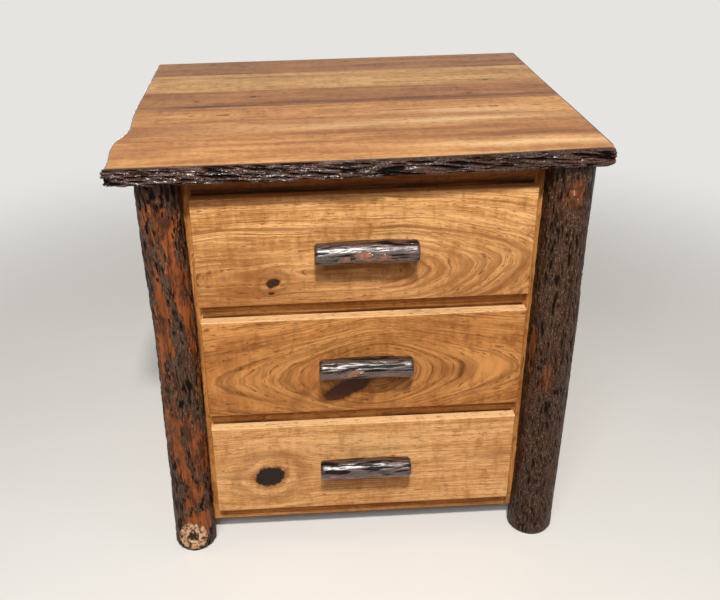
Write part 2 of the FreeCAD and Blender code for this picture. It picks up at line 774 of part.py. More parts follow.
def make_drawer(level, name):
    low = "foot_clear + rail_high + pitch * %d + carry_gap" % level
    front_low = "foot_clear + rail_high + pitch * %d - front_lap" % level
    pull_height = front_low + " + front_high / 2 + %s_pull_lift" % name
    prefix = name + "_drawer"
    make_drawer_front(prefix + "_front", front_low, low, pull_height)
    make_box_front(prefix + "_box_front", low, pull_height)
    for side in ("left", "right"):
        make_box_side("%s_%s_side" % (prefix, side), side, low)
    rear = board(prefix + "_back",
                 ("box_left + box_thick - box_dado", "front_rear + box_inside_rear",
                  low + " + bottom_lift + bottom_thick + panel_play"),
                 ("box_wide - 2 * (box_thick - box_dado)", "box_back_thick",
                  "box_high - bottom_lift - bottom_thick - panel_play"))
    keep(rear, prefix + "_back")
    edge = "(groove_deep - panel_play)"
    panel = board(prefix + "_bottom",
                  ("box_left + box_thick - " + edge, "front_rear + box_thick - " + edge, low + " + bottom_lift"),
                  ("box_wide - 2 * (box_thick - %s)" % edge,
                   "box_inside_rear + box_back_thick - box_thick + " + edge, "bottom_thick"))
    keep(panel, prefix + "_bottom")
    make_pull(name, pull_height)
    screws = [screw("%s_front_screw_%d" % (name, number), head, "-y", "front_screw")
              for number, head in enumerate(front_screw_heads(low))]
    screws += [screw("%s_pull_screw_%d" % (name, number), head, "-y", "pull_screw")
               for number, head in enumerate(pull_screw_heads(pull_height))]
    group(prefix + "_screws", screws)


def check_model():
    """Stops with a plain message if any object failed or any sub-part is empty or invalid."""
    faults = []
    for item in doc.Objects:
        if "Invalid" in item.State or "Error" in item.State:
            faults.append("%s failed" % item.Label)
    for piece in pieces:
        if piece.Shape.isNull() or not piece.Shape.isValid() or not piece.Shape.Solids:
            faults.append("%s has no sound solid" % piece.Label)
    if faults:
        raise SystemExit("\n".join(faults))


make_top()
make_leg("left", "front", FRONT_LEFT_LOG_SHARES)
make_leg("right", "front", FRONT_RIGHT_LOG_SHARES)
make_leg("left", "rear", REAR_LEFT_LOG_SHARES)
make_leg("right", "rear", REAR_RIGHT_LOG_SHARES)
make_case()
make_stops()
for drawer_level, drawer_name in enumerate(DRAWER_NAMES):
    make_drawer(drawer_level, drawer_name)
doc.recompute()
check_model()
os.makedirs("parts", exist_ok=True)
for piece in pieces:
    piece.Shape.exportStep("parts/%s.step" % piece.Label)
print("%d sub-parts written" % len(pieces))
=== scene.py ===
"""Looks of the rustic hickory table: wood figure, bark relief, floor, light and camera."""
import math
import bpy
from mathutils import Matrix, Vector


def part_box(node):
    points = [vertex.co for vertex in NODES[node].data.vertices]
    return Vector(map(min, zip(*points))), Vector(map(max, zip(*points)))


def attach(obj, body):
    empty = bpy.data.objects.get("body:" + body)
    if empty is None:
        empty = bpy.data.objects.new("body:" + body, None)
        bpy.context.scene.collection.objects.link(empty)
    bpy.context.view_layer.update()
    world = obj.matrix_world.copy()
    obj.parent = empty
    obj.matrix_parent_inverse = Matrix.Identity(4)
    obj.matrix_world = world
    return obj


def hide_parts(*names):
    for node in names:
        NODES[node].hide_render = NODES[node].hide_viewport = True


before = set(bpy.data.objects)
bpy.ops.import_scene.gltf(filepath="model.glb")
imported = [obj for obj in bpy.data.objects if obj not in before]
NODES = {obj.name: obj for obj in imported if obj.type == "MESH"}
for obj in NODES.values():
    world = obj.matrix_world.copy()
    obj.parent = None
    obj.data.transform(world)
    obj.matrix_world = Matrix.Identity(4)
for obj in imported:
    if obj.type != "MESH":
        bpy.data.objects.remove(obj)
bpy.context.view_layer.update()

from types import SimpleNamespace

import bmesh
import bpy
import numpy as np
from mathutils import Matrix, Vector

DRAWERS = ("lower", "middle", "upper")

# Camera, from the photo's view
CAMERA_PLACE = (-0.10503, -1.38544, 1.10172)
CAMERA_RIGHT = (0.998523, -0.049762, -0.021805)
CAMERA_UP = (0.043008, 0.478761, 0.876891)
FOCAL_PIXELS = 862.9
CENTRE_SHIFT_PIXELS = -41.5
PHOTO_WIDTH_PIXELS = 720
SENSOR_MM = 36.0


def srgb(red, green, blue):
    """A colour written as it looks, 0 to 255, in the shader's own scale."""
    def linear(value):
        value = value / 255
        return value / 12.92 if value <= 0.04045 else ((value + 0.055) / 1.055) ** 2.4
    return (linear(red), linear(green), linear(blue), 1.0)


def set_up(item, **settings):
    for name, value in settings.items():
        setattr(item, name, value)
    return item


def new_object(name, data=None):
    item = bpy.data.objects.new(name, data)
    bpy.context.scene.collection.objects.link(item)
    return item


class Net:
    """Short words for wiring one net of shader nodes."""

    def __init__(self, tree):
        self.tree = tree

    def feed(self, socket, value):
        if isinstance(value, bpy.types.NodeSocket):
            self.tree.links.new(value, socket)
        else:
            socket.default_value = value

    def fill(self, item, values):
        """Links or sets a node's inputs, by name or number."""
        for key, value in values.items():
            self.feed(item.inputs[key], value)

    def node(self, kind, inputs, **settings):
        item = set_up(self.tree.nodes.new("ShaderNode" + kind), **settings)
        self.fill(item, inputs)
        return item

    def group(self, tree, inputs):
        return self.node("Group", inputs, node_tree=tree).outputs

    def stored(self, name):
        return self.node("Attribute", {}, attribute_name=name).outputs["Fac"]

    def math(self, operation, *values):
        return self.node("Math", dict(enumerate(values)), operation=operation).outputs[0]

    def chain(self, operation, values):
        total = values[0]
        for value in values[1:]:
            total = self.math(operation, total, value)
        return total

    def add(self, *values):
        return self.chain("ADD", values)

    def times(self, *values):
        return self.chain("MULTIPLY", values)

    def most(self, *values):
        return self.chain("MAXIMUM", values)

    def length(self, across, up):
        return self.math("SQRT", self.add(self.times(across, across), self.times(up, up)))

    def span(self, value, low, high, to_low=0.0, to_high=1.0, smooth=True):
        inputs = {0: value, 1: low, 2: high, 3: to_low, 4: to_high}
        kind = "SMOOTHSTEP" if smooth else "LINEAR"
        return self.node("MapRange", inputs, interpolation_type=kind).outputs[0]

    def split(self, vector):
        return self.node("SeparateXYZ", {0: vector}).outputs[:3]

    def join(self, x=0.0, y=0.0, z=0.0):
        return self.node("CombineXYZ", {0: x, 1: y, 2: z}).outputs[0]

    def vector(self, operation, *values):
        item = self.node("VectorMath", dict(enumerate(values)), operation=operation)
        return item.outputs["Value" if operation == "LENGTH" else "Vector"]

    def noise(self, vector, scale, detail=2.0, seed=0.0, roughness=0.5, colour=False):
        """Noise of so many cells a metre: one number, or a vector for cells longer one way than another."""
        if not isinstance(scale, float):
            vector = self.vector("MULTIPLY", vector, scale)
            scale = 1.0
        inputs = {"Vector": vector, "W": seed, "Scale": scale, "Detail": detail, "Roughness": roughness}
        return self.node("TexNoise", inputs, noise_dimensions="4D").outputs["Color" if colour else "Fac"]

    def wander(self, vector, scale, detail, seed, roughness, reach):
        """A push to and fro that changes from place to place."""
        push = self.noise(vector, scale, detail, seed, roughness, colour=True)
        push = self.vector("SUBTRACT", push, (0.5, 0.5, 0.5))
        return self.node("VectorMath", {0: push, "Scale": reach}, operation="SCALE").outputs["Vector"]

    def mix(self, share, first, second):
        return self.node("Mix", {0: share, 6: first, 7: second}, data_type="RGBA").outputs[2]

    def bump(self, height, strength, distance):
        return self.node("Bump", {"Height": height, "Strength": strength, "Distance": distance}).outputs[0]


def start_group(name, given_kinds, result_kinds):
    """A shader node group; returns its net, what it is given and the node that takes its results."""
    tree = bpy.data.node_groups.new(name, "ShaderNodeTree")
    for way, kinds in (("INPUT", given_kinds), ("OUTPUT", result_kinds)):
        for kind, titles in kinds.items():
            for title in titles:
                tree.interface.new_socket(name=title, in_out=way, socket_type="NodeSocket" + kind)
    given = tree.nodes.new("NodeGroupInput").outputs
    return Net(tree), given, tree.nodes.new("NodeGroupOutput")


TONES = ("Light", "Middle", "Ring")
FIGURE_SHAPE = ("Left rise", "Right rise", "Flat", "Ring width", "Waviness")
STRENGTHS = ("Ring strength", "Line strength", "Shimmer strength", "Softness")
KNOT_SHAPE = ("Length", "Width", "Lean", "Ragged")
BARK_TONES = ("Furrow", "Ridge", "Warm ridge", "Crest", "Bare light", "Bare dark", "Sawn", "Heart")

# Cells a metre along the grain, across it and into the board
WAVE_CELLS = (3.5, 15.0, 15.0)
FIBRE_CELLS = (26.0, 110.0, 110.0)
BOLD_CELLS = (5.0, 14.0, 14.0)
LINE_CELLS = (7.0, 330.0, 60.0)
STREAK_CELLS = (6.0, 48.0, 30.0)
PORE_CELLS = (80.0, 620.0, 200.0)
SHIMMER_CELLS = (95.0, 34.0, 34.0)
MARK_BEND_CELLS = (9.0, 0.0, 0.0)
MARK_FIBRE_CELLS = (10.0, 420.0, 420.0)
# Cells a metre of bark, along X, Y and Z
FLAKE_CELLS = (95.0, 95.0, 34.0)
GRIT_CELLS = (620.0, 620.0, 260.0)
BLOTCH_CELLS = (60.0, 60.0, 22.0)
END_CHECK_CELLS = 150.0

# Growth rings: how blunt their arches are, how far they dip and lean into the board, and how much the fibre
# and the change from year to year move them
ARCH_ROUND = 0.0006
RING_DIP = 0.6
RING_LEAN = 0.5
FIBRE_PUSH = 0.0022
RING_DRIFT = 4.0


def build_figure_group():
    """Growth rings as a sawn face shows them: long arches round a centre, wavy, straighter further off."""
    net, given, result = start_group(
        "wood_figure",
        {"Vector": ("Vector", "Centre"), "Color": TONES, "Float": (*FIGURE_SHAPE, *STRENGTHS, "Seed")},
        {"Color": ("Colour",), "Float": ("Rings", "Pores", "Height")},
    )
    seed = given["Seed"]
    spot = given["Vector"]
    wave = net.wander(spot, WAVE_CELLS, 3.0, seed, 0.5, given["Waviness"])
    fibre = net.noise(spot, FIBRE_CELLS, 2.0, seed)
    x, y, z = net.split(net.vector("ADD", net.vector("SUBTRACT", spot, given["Centre"]), wave))
    right = net.math("GREATER_THAN", x, 0.0)
    left = net.math("SUBTRACT", 1.0, right)
    rise = net.add(net.times(right, given["Right rise"]), net.times(left, given["Left rise"]))
    away = net.math("SQRT", net.add(net.times(x, x), ARCH_ROUND))
    away = net.math("DIVIDE", away, net.add(net.times(away, given["Flat"]), 1.0))
    depth = net.add(net.times(rise, away), net.times(z, RING_DIP))
    reach = net.length(net.add(y, net.times(z, RING_LEAN)), depth)
    reach = net.add(reach, net.times(fibre, FIBRE_PUSH))
    count = net.math("DIVIDE", reach, given["Ring width"])
    drift = net.noise(net.join(count), 0.4, 2.0, seed)
    count = net.add(count, net.times(drift, RING_DRIFT))
    share = net.math("FRACT", count)
    late = net.times(net.span(share, 0.3, 0.85), net.span(share, 1.0, 0.9))
    number = net.add(net.math("FLOOR", count), seed)
    whole = net.node("TexWhiteNoise", {"W": number}, noise_dimensions="1D").outputs["Value"]
    bold = net.span(net.noise(spot, BOLD_CELLS, 2.0, seed), 0.38, 0.6, 0.4, 1.0)
    rings = net.times(late, net.span(whole, 0.0, 1.0, 0.25, 1.0, smooth=False), bold)
    flow = net.join(x, reach, net.times(z, 0.3))
    lines = net.noise(flow, LINE_CELLS, 4.0, seed, 0.7)
    streaks = net.noise(flow, STREAK_CELLS, 5.0, seed, 0.65)
    dashes = net.noise(flow, PORE_CELLS, 2.0, seed, 0.6)
    shimmer = net.noise(spot, SHIMMER_CELLS, 4.0, seed, 0.6)
    pores = net.times(net.span(dashes, 0.53, 0.63), net.span(share, 0.5, 0.1, 0.35, 1.0))
    light, middle, ring = (given[title] for title in TONES)
    ring_strength, line_strength, shimmer_strength, soft = (given[title] for title in STRENGTHS)
    streak_share = net.span(streaks, net.math("SUBTRACT", 0.49, soft), net.add(0.49, soft))
    colour = net.mix(streak_share, light, middle)
    colour = net.mix(net.span(shimmer, 0.46, 0.66, 0.0, shimmer_strength), colour, light)
    shade = net.span(shimmer, 0.48, 0.3, 0.0, net.times(shimmer_strength, 0.64))
    colour = net.mix(shade, colour, ring)
    colour = net.mix(net.times(rings, ring_strength), colour, ring)
    colour = net.mix(net.span(lines, 0.46, 0.64, 0.0, line_strength), colour, ring)
    height = net.add(net.times(pores, -1.0), net.times(rings, -0.3), net.times(lines, 0.5))
    net.fill(result, {"Colour": colour, "Rings": rings, "Pores": pores, "Height": height})
    return net.tree


def build_knot_group():
    """A knot: a dark ragged core, a warm halo, and how far it pushes the grain aside."""
    net, given, result = start_group(
        "knot",
        {"Vector": ("Vector", "Centre"), "Float": (*KNOT_SHAPE, "Seed")},
        {"Float": ("Core", "Halo", "Push", "Cracks")},
    )
    seed = given["Seed"]
    spot = net.vector("SUBTRACT", given["Vector"], given["Centre"])
    rag = net.wander(given["Vector"], 110.0, 4.0, seed, 0.65, given["Ragged"])
    x, y, _ = net.split(net.vector("ADD", spot, rag))
    across = net.math("DIVIDE", x, given["Length"])
    up = net.math("DIVIDE", net.math("SUBTRACT", y, net.times(x, given["Lean"])), given["Width"])
    far = net.length(across, up)
    rim = net.span(far, 1.45, 1.0, 0.0, 0.8)
    band = net.times(net.span(far, 1.6, 2.1), net.span(far, 3.0, 2.2), 0.45)
    _, high, _ = net.split(spot)
    net.fill(result, {
        "Core": net.span(far, 1.06, 0.9),
        "Halo": net.most(rim, band),
        "Push": net.times(high, net.math("EXPONENT", net.times(far, far, -0.16))),
        "Cracks": net.span(net.noise(given["Vector"], 260.0, 3.0, seed, 0.6), 0.46, 0.6),
    })
    return net.tree


def build_mark_group():
    """A soft mark along the grain: a mineral streak or a stained band, and also the painted highlight and
    shade lines along edges and joints.
    """
    net, given, result = start_group(
        "mark_along_grain",
        {"Vector": ("Vector", "Centre"), "Float": ("Length", "Width", "Seed")},
        {"Float": ("Mark",)},
    )
    seed = given["Seed"]
    x, y, _ = net.split(net.vector("SUBTRACT", given["Vector"], given["Centre"]))
    bend = net.noise(given["Vector"], MARK_BEND_CELLS, 3.0, seed)
    # a mark as long as the board stays straight
    sway = net.times(given["Width"], net.span(given["Length"], 1.0, 0.5, 0.0, 2.4))
    y = net.add(y, net.times(net.math("SUBTRACT", bend, 0.5), sway))
    across = net.math("DIVIDE", x, given["Length"])
    up = net.math("DIVIDE", y, given["Width"])
    far = net.add(net.times(across, across), net.times(up, up))
    fibre = net.noise(given["Vector"], MARK_FIBRE_CELLS, 3.0, seed)
    soft = net.math("EXPONENT", net.times(far, -1.0))
    net.fill(result, {"Mark": net.times(soft, net.span(fibre, 0.3, 0.6, 0.5, 1.0))})
    return net.tree


def build_bark_group():
    """Bark by its stored relief: black furrows, brown ridges, pale weathered crests whose specks are partly
    painted glints. Bare wood shows where the stored cover is low, and a sawn, cracked face where the bark is
    cut."""
    net, given, result = start_group(
        "bark",
        {"Vector": ("Vector", "Fibre cells"), "Color": BARK_TONES,
         "Float": ("Relief", "Cover", "Cut", "Crest share", "Seed")},
        {"Color": ("Colour",), "Float": ("Grit", "Raised", "Height")},
    )
    spot, relief, cover, cut, seed = (given[title] for title in ("Vector", "Relief", "Cover", "Cut", "Seed"))
    furrow, ridge, warm, crest_and_glint, light, dark, sawn, heart = (given[title] for title in BARK_TONES)
    regions = net.noise(spot, 16.0, 3.0, seed, 0.6)
    flakes = net.noise(spot, FLAKE_CELLS, 4.0, seed, 0.65)
    grit = net.noise(spot, GRIT_CELLS, 3.0, seed, 0.65)
    crust = net.mix(net.span(regions, 0.42, 0.62), ridge, warm)
    crust = net.mix(net.span(flakes, 0.48, 0.68, 0.0, 0.6), crust, furrow)
    # pale specks on the high crests: weathered bark, and partly a painted glint
    pale = net.times(net.span(relief, 0.5, 0.9), net.span(grit, 0.49, 0.66), given["Crest share"])
    crust = net.mix(pale, crust, crest_and_glint)
    crust = net.mix(net.span(relief, 0.62, 0.2), crust, furrow)
    fibre = net.noise(spot, given["Fibre cells"], 4.0, seed, 0.65)
    blotch = net.noise(spot, BLOTCH_CELLS, 4.0, seed, 0.65)
    bare = net.mix(net.span(fibre, 0.38, 0.68, 0.0, 0.75), light, dark)
    bare = net.mix(net.span(blotch, 0.47, 0.62, 0.0, 0.88), bare, net.mix(0.3, furrow, dark))
    check = net.noise(spot, END_CHECK_CELLS, 4.0, seed, 0.65)
    end_grain = net.mix(net.span(check, 0.42, 0.62), sawn, heart)
    cracked_heart = net.mix(net.span(check, 0.4, 0.56), heart, furrow)
    colour = net.mix(net.span(cover, 0.25, 0.55), bare, crust)
    colour = net.mix(net.span(cut, 0.2, 0.6), colour, end_grain)
    colour = net.mix(net.span(cut, 0.82, 0.97), colour, cracked_heart)
    net.fill(result, {
        "Colour": colour,
        "Grit": grit,
        "Raised": net.most(net.span(relief, 0.3, 0.8), net.math("SUBTRACT", 1.0, cover)),
        "Height": net.add(net.times(grit, cover), net.times(fibre, 0.5)),
    })
    return net.tree


FIGURE = build_figure_group()
KNOT = build_knot_group()
MARK = build_mark_group()
BARK = build_bark_group()


def start_material(name):
    """A material with an empty net, its principled shader and the object's own coordinates."""
    material = bpy.data.materials.new(name)
    material.use_nodes = True
    net = Net(material.node_tree)
    shader = material.node_tree.nodes["Principled BSDF"]
    spot = net.node("TexCoord", {}).outputs["Object"]
    return material, net, shader, spot


PLAIN_STRENGTHS = (0.7, 0.62, 0.55, 0.11)


def wood_material(name, order, tones, figure, face, seed, knots=(), marks=(), gloss=(0.4, 0.15),
                  strengths=PLAIN_STRENGTHS):
    """A sawn board. order names the piece's axes along the grain, across it and into the board; face is
    where its best face lies on the last one.

    A row of figure, knots or marks starts with its centre's two places. Then a figure has its shape, a knot
    its shape, push, dark share and colour, and a mark its length, width, share and colour.
    gloss: roughness, specular level.
    """
    material, net, shader, spot = start_material(name)
    axes = dict(zip("xyz", net.split(spot)))
    spot = net.join(*[axes[letter] for letter in order])
    ring = tones[-1]
    along, across, *shape = figure
    pushed = 0.0
    cores = []
    for number, (x, y, *knot_shape, push, dark_share, core_colour) in enumerate(knots):
        found = net.group(KNOT, {"Vector": spot, "Centre": (x, y, 0.0), "Seed": seed + number,
                                 **dict(zip(KNOT_SHAPE, knot_shape))})
        pushed = net.add(pushed, net.times(found["Push"], push))
        cores.append((found, dark_share, core_colour))
    flow = net.vector("SUBTRACT", spot, net.join(y=pushed))
    wood = net.group(FIGURE, {
        "Vector": flow, "Centre": (along, across, face), "Seed": seed,
        **dict(zip((*TONES, *FIGURE_SHAPE, *STRENGTHS), (*tones, *shape, *strengths))),
    })
    colour = wood["Colour"]
    for number, (x, y, long, wide, share, mark_colour) in enumerate(marks):
        found = net.group(MARK, {"Vector": spot, "Centre": (x, y, 0.0), "Seed": seed + number,
                                 "Length": long, "Width": wide})
        colour = net.mix(net.times(found["Mark"], share), colour, mark_colour)
    colour = net.mix(net.times(wood["Pores"], 0.75), colour, net.mix(0.6, ring, PORE_BROWN))
    height = wood["Height"]
    for found, dark_share, core_colour in cores:
        colour = net.mix(net.times(found["Halo"], 0.8), colour, net.mix(0.15, ring, core_colour))
        dark = net.mix(net.times(found["Cracks"], 0.55), core_colour, PORE_BLACK)
        colour = net.mix(net.times(found["Core"], dark_share), colour, dark)
        height = net.add(height, net.times(found["Core"], found["Cracks"], -3.0))
    rough, specular = gloss
    net.fill(shader, {
        "Base Color": colour,
        "Roughness": net.add(rough, net.times(wood["Pores"], 0.2), net.times(wood["Rings"], 0.06)),
        "Specular IOR Level": specular,
        "Normal": net.bump(height, 0.4, 0.0003),
    })
    return material


def bark_material(name, tones, crest_and_glint_share, gloss, seed, fibre_cells, bump_deep=0.0008, coat_rough=0.26,
                  coat_ior=1.5):
    """Bark with its stored relief, and bare wood where it is gone; gloss: roughness, specular, coat."""
    material, net, shader, spot = start_material(name)
    bark = net.group(BARK, {
        "Vector": spot, "Relief": net.stored("relief"), "Cover": net.stored("cover"),
        "Cut": net.stored("cut"), "Crest share": crest_and_glint_share, "Fibre cells": fibre_cells, "Seed": seed,
        **dict(zip(BARK_TONES, tones)),
    })
    rough, specular, coat = gloss
    net.fill(shader, {
        "Base Color": bark["Colour"],
        "Roughness": net.add(rough, net.times(bark["Grit"], 0.25)),
        "Specular IOR Level": specular,
        "Coat Weight": net.times(bark["Raised"], coat),
        "Coat Roughness": coat_rough,
        "Coat IOR": coat_ior,
        "Normal": net.bump(bark["Height"], 0.6, bump_deep),
    })
    return material


def zinc_material():
    """The plated steel of the screws."""
    material, net, shader, spot = start_material("zinc_steel")
    speck = net.noise(spot, 900.0, 3.0)
    net.fill(shader, {
        "Base Color": net.mix(net.times(speck, 0.3), srgb(176, 176, 172), srgb(70, 68, 66)),
        "Roughness": net.add(0.3, net.times(speck, 0.12)),
        "Metallic": 1.0,
    })
    return material


# Wood colours: light, middle, ring
HONEY = (srgb(224, 164, 98), srgb(170, 110, 58), srgb(100, 56, 26))
GOLD = (srgb(238, 184, 120), srgb(194, 138, 80), srgb(118, 68, 30))
RIPE = (srgb(212, 150, 86), srgb(176, 115, 60), srgb(104, 60, 26))
STRAW = (srgb(242, 190, 130), srgb(214, 158, 98), srgb(142, 90, 46))
TAN = (srgb(210, 150, 88), srgb(156, 100, 52), srgb(94, 52, 26))
ROSE = (srgb(192, 132, 74), srgb(140, 86, 44), srgb(84, 46, 22))
GREY_ROSE = (srgb(182, 126, 74), srgb(134, 86, 46), srgb(84, 50, 26))
PALE_GREEN = (srgb(226, 176, 110), srgb(176, 124, 70), srgb(112, 70, 34))
CASE = (srgb(204, 142, 78), srgb(176, 114, 56), srgb(112, 64, 26))
BOX = (srgb(226, 194, 148), srgb(210, 174, 126), srgb(172, 128, 82))
TURNED = (srgb(206, 146, 88), srgb(180, 120, 66), srgb(124, 76, 38))
# pale streaks on the top boards; on the fronts' top edges, a painted highlight
PALE_STREAK_AND_EDGE_HIGHLIGHT = srgb(240, 198, 144)
# painted shade in the joint above each drawer front
JOINT_SHADE_BROWN = srgb(34, 16, 7)
KNOT_BROWN = srgb(62, 32, 16)
KNOT_BLACK = srgb(34, 18, 11)
LEAF_BROWN = srgb(70, 31, 8)
STREAK_RED = srgb(88, 44, 24)
STREAK_BROWN = srgb(108, 58, 28)
STREAK_ROSE = srgb(146, 88, 50)
# stained bands; on the upper front, also painted shade under the table top and its rail
STAIN_AND_PAINTED_SHADE = srgb(150, 92, 44)
EYE_BROWN = srgb(126, 74, 34)
CORNER_ROSE = srgb(158, 92, 50)
PORE_BROWN = srgb(70, 36, 16)
PORE_BLACK = srgb(22, 12, 8)

# Boards of the top, front to back: tones, figure, knots, marks
TOP_BOARDS = (
    (HONEY, (0.18, -0.15, 0.02, 0.015, 0.0, 0.0075, 0.01), (),
     ((0.24, -0.197, 0.18, 0.014, 1.0, STREAK_BROWN), (0.26, -0.238, 0.15, 0.014, 0.9, PALE_STREAK_AND_EDGE_HIGHLIGHT),
      (-0.1, -0.205, 0.22, 0.006, 0.7, STREAK_ROSE), (-0.3, -0.225, 0.06, 0.024, 0.6, STREAK_ROSE),
      (0.02, -0.252, 0.1, 0.01, 0.5, STREAK_ROSE))),
    (TAN, (-0.1, -0.2, 0.018, 0.02, 0.0, 0.007, 0.01), (),
     ((0.1, -0.165, 0.3, 0.008, 0.8, STREAK_ROSE), (-0.28, -0.13, 0.1, 0.014, 0.7, STREAK_ROSE),
      (0.16, -0.12, 0.14, 0.012, 0.8, PALE_STREAK_AND_EDGE_HIGHLIGHT), (-0.05, -0.135, 0.16, 0.012, 0.5, PALE_STREAK_AND_EDGE_HIGHLIGHT))),
    (HONEY, (0.05, -0.06, 0.02, 0.022, 0.0, 0.008, 0.01), (),
     ((-0.28, -0.026, 0.1, 0.012, 0.7, STREAK_ROSE), (0.083, -0.063, 0.042, 0.0026, 1.0, KNOT_BLACK),
      (0.2, -0.075, 0.12, 0.014, 0.7, PALE_STREAK_AND_EDGE_HIGHLIGHT), (-0.02, -0.09, 0.2, 0.007, 0.6, STREAK_ROSE))),
    (ROSE, (-0.1, 0.09, 0.016, 0.018, 0.0, 0.0065, 0.01),
     ((-0.152, 0.04, 0.006, 0.003, 0.0, 0.006, 0.6, 0.9, KNOT_BROWN),
      (-0.245, 0.022, 0.005, 0.003, 0.0, 0.006, 0.6, 0.8, KNOT_BROWN),
      (0.206, 0.018, 0.006, 0.003, 0.0, 0.006, 0.6, 0.9, KNOT_BROWN)),
     ((-0.22, -0.01, 0.11, 0.005, 1.0, KNOT_BLACK), (0.1, 0.001, 0.34, 0.009, 1.0, STREAK_RED),
      (0.0, 0.045, 0.4, 0.012, 0.5, STREAK_ROSE))),
    (PALE_GREEN, (0.1, 0.12, 0.02, 0.024, 0.0, 0.0075, 0.01),
     ((0.251, 0.1, 0.006, 0.003, 0.0, 0.005, 0.6, 0.8, KNOT_BROWN),),
     ((-0.1, 0.17, 0.3, 0.006, 0.4, STREAK_ROSE),)),
    (GREY_ROSE, (-0.05, 0.27, 0.02, 0.018, 0.0, 0.007, 0.01),
     ((-0.174, 0.249, 0.006, 0.002, 0.0, 0.004, 0.6, 0.8, KNOT_BROWN),
      (0.02, 0.266, 0.005, 0.002, 0.0, 0.004, 0.6, 0.8, KNOT_BROWN)),
     ((-0.25, 0.225, 0.2, 0.01, 0.5, STREAK_ROSE),)),
)
TOP_STRENGTHS = (0.24, 0.16, 0.26, 0.19)
TOP_GLOSS = (0.36, 0.09)
TOP_SEED_STEP = 3.1

# Drawer fronts: tones, figure, knots, marks, strengths, colour of the painted light on the top edge (a
# highlight, and on the upper front a shade under the table top)
DRAWER_FRONTS = {
    "upper": (
        GOLD, (0.03, 0.522, 0.05, 0.38, 0.6, 0.0078, 0.034),
        ((-0.129, 0.509, 0.0105, 0.0075, 0.25, 0.012, 0.65, 1.0, KNOT_BROWN),
         (-0.132, 0.4915, 0.005, 0.0022, 0.0, 0.006, 0.4, 0.9, KNOT_BROWN)),
        ((-0.17, 0.5, 0.1, 0.045, 0.75, STAIN_AND_PAINTED_SHADE), (-0.09, 0.507, 0.03, 0.003, 0.7, STAIN_AND_PAINTED_SHADE),
         (0.12, 0.51, 0.2, 0.05, 0.45, STAIN_AND_PAINTED_SHADE), (0.0, 0.47, 0.26, 0.016, 0.4, STAIN_AND_PAINTED_SHADE),
         # painted shade at the upper left, under the top front rail
         (-0.18, 0.64, 0.1, 0.009, 0.6, STAIN_AND_PAINTED_SHADE)),
        # the upper front's top edge gets painted shade from the table top above it
        (1.05, 0.5, 0.55, 0.11), STAIN_AND_PAINTED_SHADE,
    ),
    "middle": (
        RIPE, (0.03, 0.338, 1.0, 0.98, 8.0, 0.005, 0.012),
        ((-0.02, 0.314, 0.038, 0.016, 0.4, 0.014, 0.2, 0.95, LEAF_BROWN),),
        ((0.15, 0.338, 0.03, 0.016, 0.6, EYE_BROWN), (0.02, 0.345, 0.09, 0.016, 0.45, STAIN_AND_PAINTED_SHADE),
         (-0.16, 0.3, 0.12, 0.012, 0.4, STAIN_AND_PAINTED_SHADE)),
        (0.75, 0.6, 0.55, 0.11), PALE_STREAK_AND_EDGE_HIGHLIGHT,
    ),
    "lower": (
        STRAW, (0.05, 0.02, 0.03, 0.04, 0.0, 0.0052, 0.01),
        ((-0.151, 0.141, 0.026, 0.0205, 0.12, 0.02, 0.8, 1.0, KNOT_BLACK),),
        ((0.24, 0.168, 0.03, 0.012, 0.6, CORNER_ROSE), (-0.15, 0.18, 0.08, 0.01, 0.3, STAIN_AND_PAINTED_SHADE)),
        (0.45, 0.5, 0.55, 0.11), PALE_STREAK_AND_EDGE_HIGHLIGHT,
    ),
}
FRONT_GLOSS = (0.36, 0.2)
FRONT_SEED = 20
FRONT_SEED_STEP = 2.7

# Lines along a whole board: painted light on the top edge of each front (a highlight on the lower two, a
# shade on the upper one under the table top), and a painted shade line in the joint above each drawer
WHOLE_LENGTH = 2.0
PAINTED_EDGE_HIGH = 0.0018
PAINTED_EDGE_SHARE = 0.8
JOINT_SHADE_LINES = {"upper": 0.0065, "middle": 0.0042, "lower": 0.0042}
JOINT_SHADE_RISE = 0.4

RAIL_FIGURE = (0.1, 0.25, 0.06, 0.05, 0.0, 0.007, 0.02)
RAIL_SEED = 31.0
SIDE_SHAPE = (0.22, 0.18, 0.0, 0.008, 0.02)
SIDE_CENTRE_HIGH = 0.4
SIDE_SEEDS = {"left": 40.0, "right": 41.0}
BACK_FIGURE = (0.3, 0.05, 0.2, 0.22, 0.0, 0.01, 0.03)
BACK_SEED = 45.0
# Other wooden parts: material, order, tones, figure, face, seed, endings of nodes' names
PLAIN_PARTS = (
    ("strip_wood", "yzx", BOX, (0.0, 0.3, 0.02, 0.03, 0.0, 0.006, 0.01), 0.2, 47.0,
     ("_runners", "_cleat")),
    ("stop_wood", "zxy", BOX, (0.0, 0.0, 0.05, 0.05, 0.0, 0.004, 0.005), -0.2, 48.0, ("_stops",)),
    ("box_front_wood", "xzy", BOX, (0.1, 0.35, 0.1, 0.12, 0.0, 0.008, 0.02), -0.21, 50.0,
     ("_box_front", "_drawer_back")),
    ("box_side_wood", "yzx", BOX, (0.0, 0.35, 0.1, 0.09, 0.0, 0.008, 0.02), -0.23, 51.0,
     ("_left_side", "_right_side")),
    ("box_floor_wood", "xyz", BOX, (0.0, 0.0, 0.25, 0.2, 0.0, 0.012, 0.03), 0.1, 52.0, ("_bottom",)),
    ("post_wood", "yxz", TURNED, (0.0, 0.0, 0.02, 0.02, 0.0, 0.003, 0.002), 0.3, 53.0, ("_posts",)),
)


def paint(material, *endings):
    """Gives a material to every node whose name ends in one of these ways."""
    for name, item in NODES.items():
        if name.endswith(endings):
            item.data.materials.clear()
            item.data.materials.append(material)


